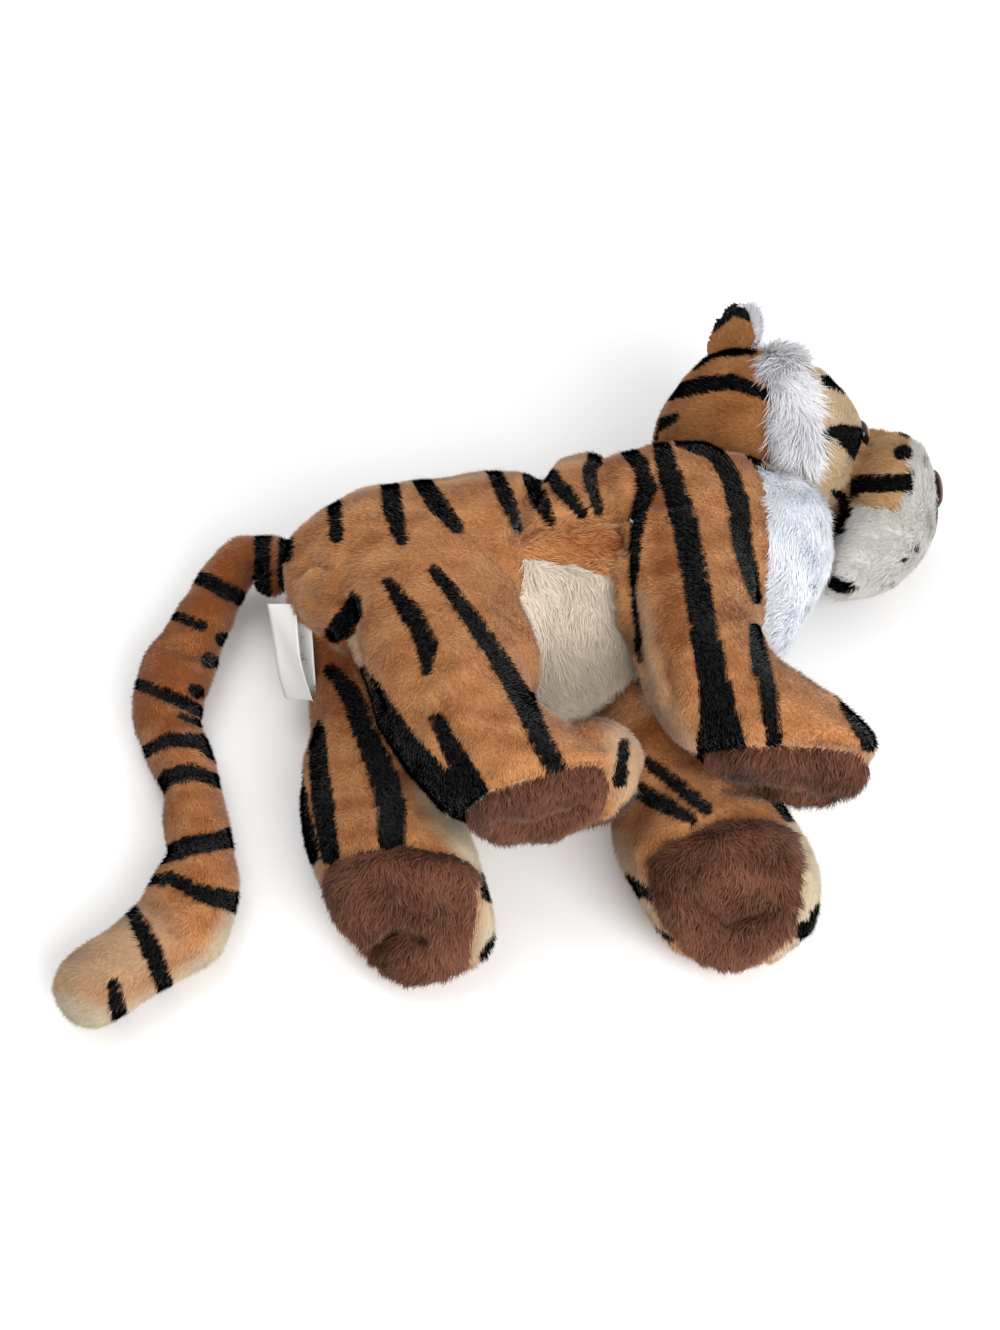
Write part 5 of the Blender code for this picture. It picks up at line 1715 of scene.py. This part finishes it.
class TIGER_OT_label(TigerOperator):
    """Folds the bare satin label that is sewn in under the tail"""

    bl_idname = "tiger.label"
    bl_label = "Label"

    def execute(self, context):
        colours = context.scene.tiger_colours
        satin = cloth("Polyester satin ribbon, white", colours.label, 0.35 * MM, 0.45, 0.3, 0.3)
        top, bottom = spot(282, 604, 54), spot(303, 697, 22)
        reach, width = math.dist(top, bottom), 20 * MM
        down = unit(bottom - top)
        out = np.array((-0.75, -0.40, 0.5))
        out = unit(out - down * dot(out, down))
        across = np.cross(down, out)
        path = []
        for t in np.linspace(0, 1, 22):
            path.append((reach * t, 0.6 + 1.8 * math.sin(math.pi * t) + 2.0 * t * t, 0.0))
        lift = path[-1][1]
        for t in np.linspace(0, 1, 7)[1:-1]:
            angle = math.pi * t
            path.append((reach + 0.9 * MM * math.sin(angle), lift - 0.9 * (1 - math.cos(angle)), 0.8 * t))
        for t in np.linspace(0, 1, 22):
            height = lift * (1 - t) - 1.8 - 1.6 * math.sin(math.pi * t)
            path.append((reach * (1 - t) + 1.5 * MM * t, height, 0.8 + 4.5 * t))
        points, faces, length = [], [], 0.0
        columns = 11
        for i, (along, height, shift) in enumerate(path):
            if i:
                length += math.dist((along, height * MM), (path[i - 1][0], path[i - 1][1] * MM))
            for column in range(columns):
                share = column / (columns - 1) - 0.5
                curl = (4 * share * share - 1) * 0.9 + 0.5 * math.sin(5 * share + along / MM * 0.16)
                sideways, away = share * width - shift * MM, (height + curl) * MM
                points.append(top + down * along + across * sideways + out * away)
        for i in range(len(path) - 1):
            for column in range(columns - 1):
                a, b = i * columns + column, (i + 1) * columns + column
                faces += [(a, a + 1, b + 1), (a, b + 1, b)]
        points = np.array(points)
        points[:, 2] = np.maximum(points[:, 2], 0.5 * MM)
        label = shown(
            "label_ribbon",
            mesh_of("label", points, np.array(faces)),
            satin,
            "body",
            ("care_label",),
        )
        label.modifiers.new("ribbon", "SOLIDIFY").thickness = 0.25 * MM
        return {"FINISHED"}


class TIGER_OT_stage(TigerOperator):
    """Sets the floor, the lights, the room and the camera"""

    bl_idname = "tiger.stage"
    bl_label = "Stage"

    def execute(self, context):
        scene, stage = context.scene, context.scene.tiger_stage
        scene.view_settings.view_transform = "Standard"
        mesh = bmesh.new()
        bmesh.ops.create_circle(mesh, cap_ends=True, segments=128, radius=1.25)
        data = bpy.data.meshes.new("floor")
        mesh.to_mesh(data)
        mesh.free()
        floor = bpy.data.objects.new("floor", data)
        scene.collection.objects.link(floor)
        made, tree = new_material("Matt white paper")
        paper = node(tree, "ShaderNodeBsdfDiffuse", {"Color": linear("FAFAFA")})
        finish_material(tree, paper)
        data.materials.append(made)

        world = bpy.data.worlds.new("Soft white room")
        scene.world = world
        world.use_nodes = True
        tree = world.node_tree
        tree.nodes.clear()
        path = node(tree, "ShaderNodeLightPath")
        larger, direct = {"operation": "MAXIMUM"}, path.outputs["Is Camera Ray"]
        for kind in ("Is Glossy Ray", "Is Transmission Ray"):
            direct = node(tree, "ShaderNodeMath", larger, _0=direct, _1=path.outputs[kind]).outputs[0]
        strength = node(tree, "ShaderNodeMapRange", {"To Min": stage.fill, "To Max": 1.0}, value=direct)
        room = node(tree, "ShaderNodeBackground", {"Color": linear("FFFFFF")}, strength=strength.outputs[0])
        out = node(tree, "ShaderNodeOutputWorld")
        tree.links.new(room.outputs[0], out.inputs["Surface"])

        middle = Vector(FRAME_MIDDLE)
        lamps = (
            ("Key", (0.55, -0.95, 0.75), 0.9, stage.key), ("Top", (-0.4, 0.3, 1.3), 0.9, stage.key * 0.4)
        )
        for name, place, size, power in lamps:
            light = bpy.data.lights.new(name, "AREA")
            light.energy, light.size = power, size
            lamp = bpy.data.objects.new(name, light)
            scene.collection.objects.link(lamp)
            lamp.location = middle + Vector(place)
            lamp.rotation_euler = (-Vector(place)).to_track_quat("-Z", "Y").to_euler()

        lens = bpy.data.cameras.new("camera")
        lens.sensor_width = 36.0
        lens.lens = lens.sensor_width * FOCAL_PIXELS / FRAME_PIXELS[1]
        camera = bpy.data.objects.new("camera", lens)
        scene.collection.objects.link(camera)
        back = Vector((0, -math.cos(stage.elevation), math.sin(stage.elevation)))
        camera.location = middle + back * stage.distance
        camera.rotation_euler = (-back).to_track_quat("-Z", "Y").to_euler()
        scene.camera = camera
        return {"FINISHED"}


OPERATORS = (
    TIGER_OT_body,
    TIGER_OT_legs,
    TIGER_OT_head,
    TIGER_OT_ears,
    TIGER_OT_tail,
    TIGER_OT_eyes,
    TIGER_OT_nose,
    TIGER_OT_fillings,
    TIGER_OT_label,
    TIGER_OT_stage,
)


class TIGER_PT_panel(bpy.types.Panel):
    """Lists the tiger's pieces, sizes and colours"""

    bl_label = "Plush tiger"
    bl_idname = "TIGER_PT_panel"
    bl_space_type = "VIEW_3D"
    bl_region_type = "UI"
    bl_category = "Plush tiger"

    def draw(self, context):
        for operator in OPERATORS:
            self.layout.operator(operator.bl_idname)
        for group in ("tiger_pile", "tiger_colours", "tiger_stage"):
            box = self.layout.box()
            settings = getattr(context.scene, group)
            for name in settings.__annotations__:
                box.prop(settings, name)


GROUPS = {"tiger_pile": TigerPile, "tiger_colours": TigerColours, "tiger_stage": TigerStage}


def register():
    for group in GROUPS.values():
        bpy.utils.register_class(group)
    for name, group in GROUPS.items():
        setattr(bpy.types.Scene, name, PointerProperty(type=group))
    for item in (*OPERATORS, TIGER_PT_panel):
        bpy.utils.register_class(item)


def unregister():
    for item in (TIGER_PT_panel, *reversed(OPERATORS)):
        bpy.utils.unregister_class(item)
    for name, group in GROUPS.items():
        delattr(bpy.types.Scene, name)
        bpy.utils.unregister_class(group)


def main():
    register()
    for operator in OPERATORS:
        family, name = operator.bl_idname.split(".")
        getattr(getattr(bpy.ops, family), name)()


if __name__ == "__main__":
    main()
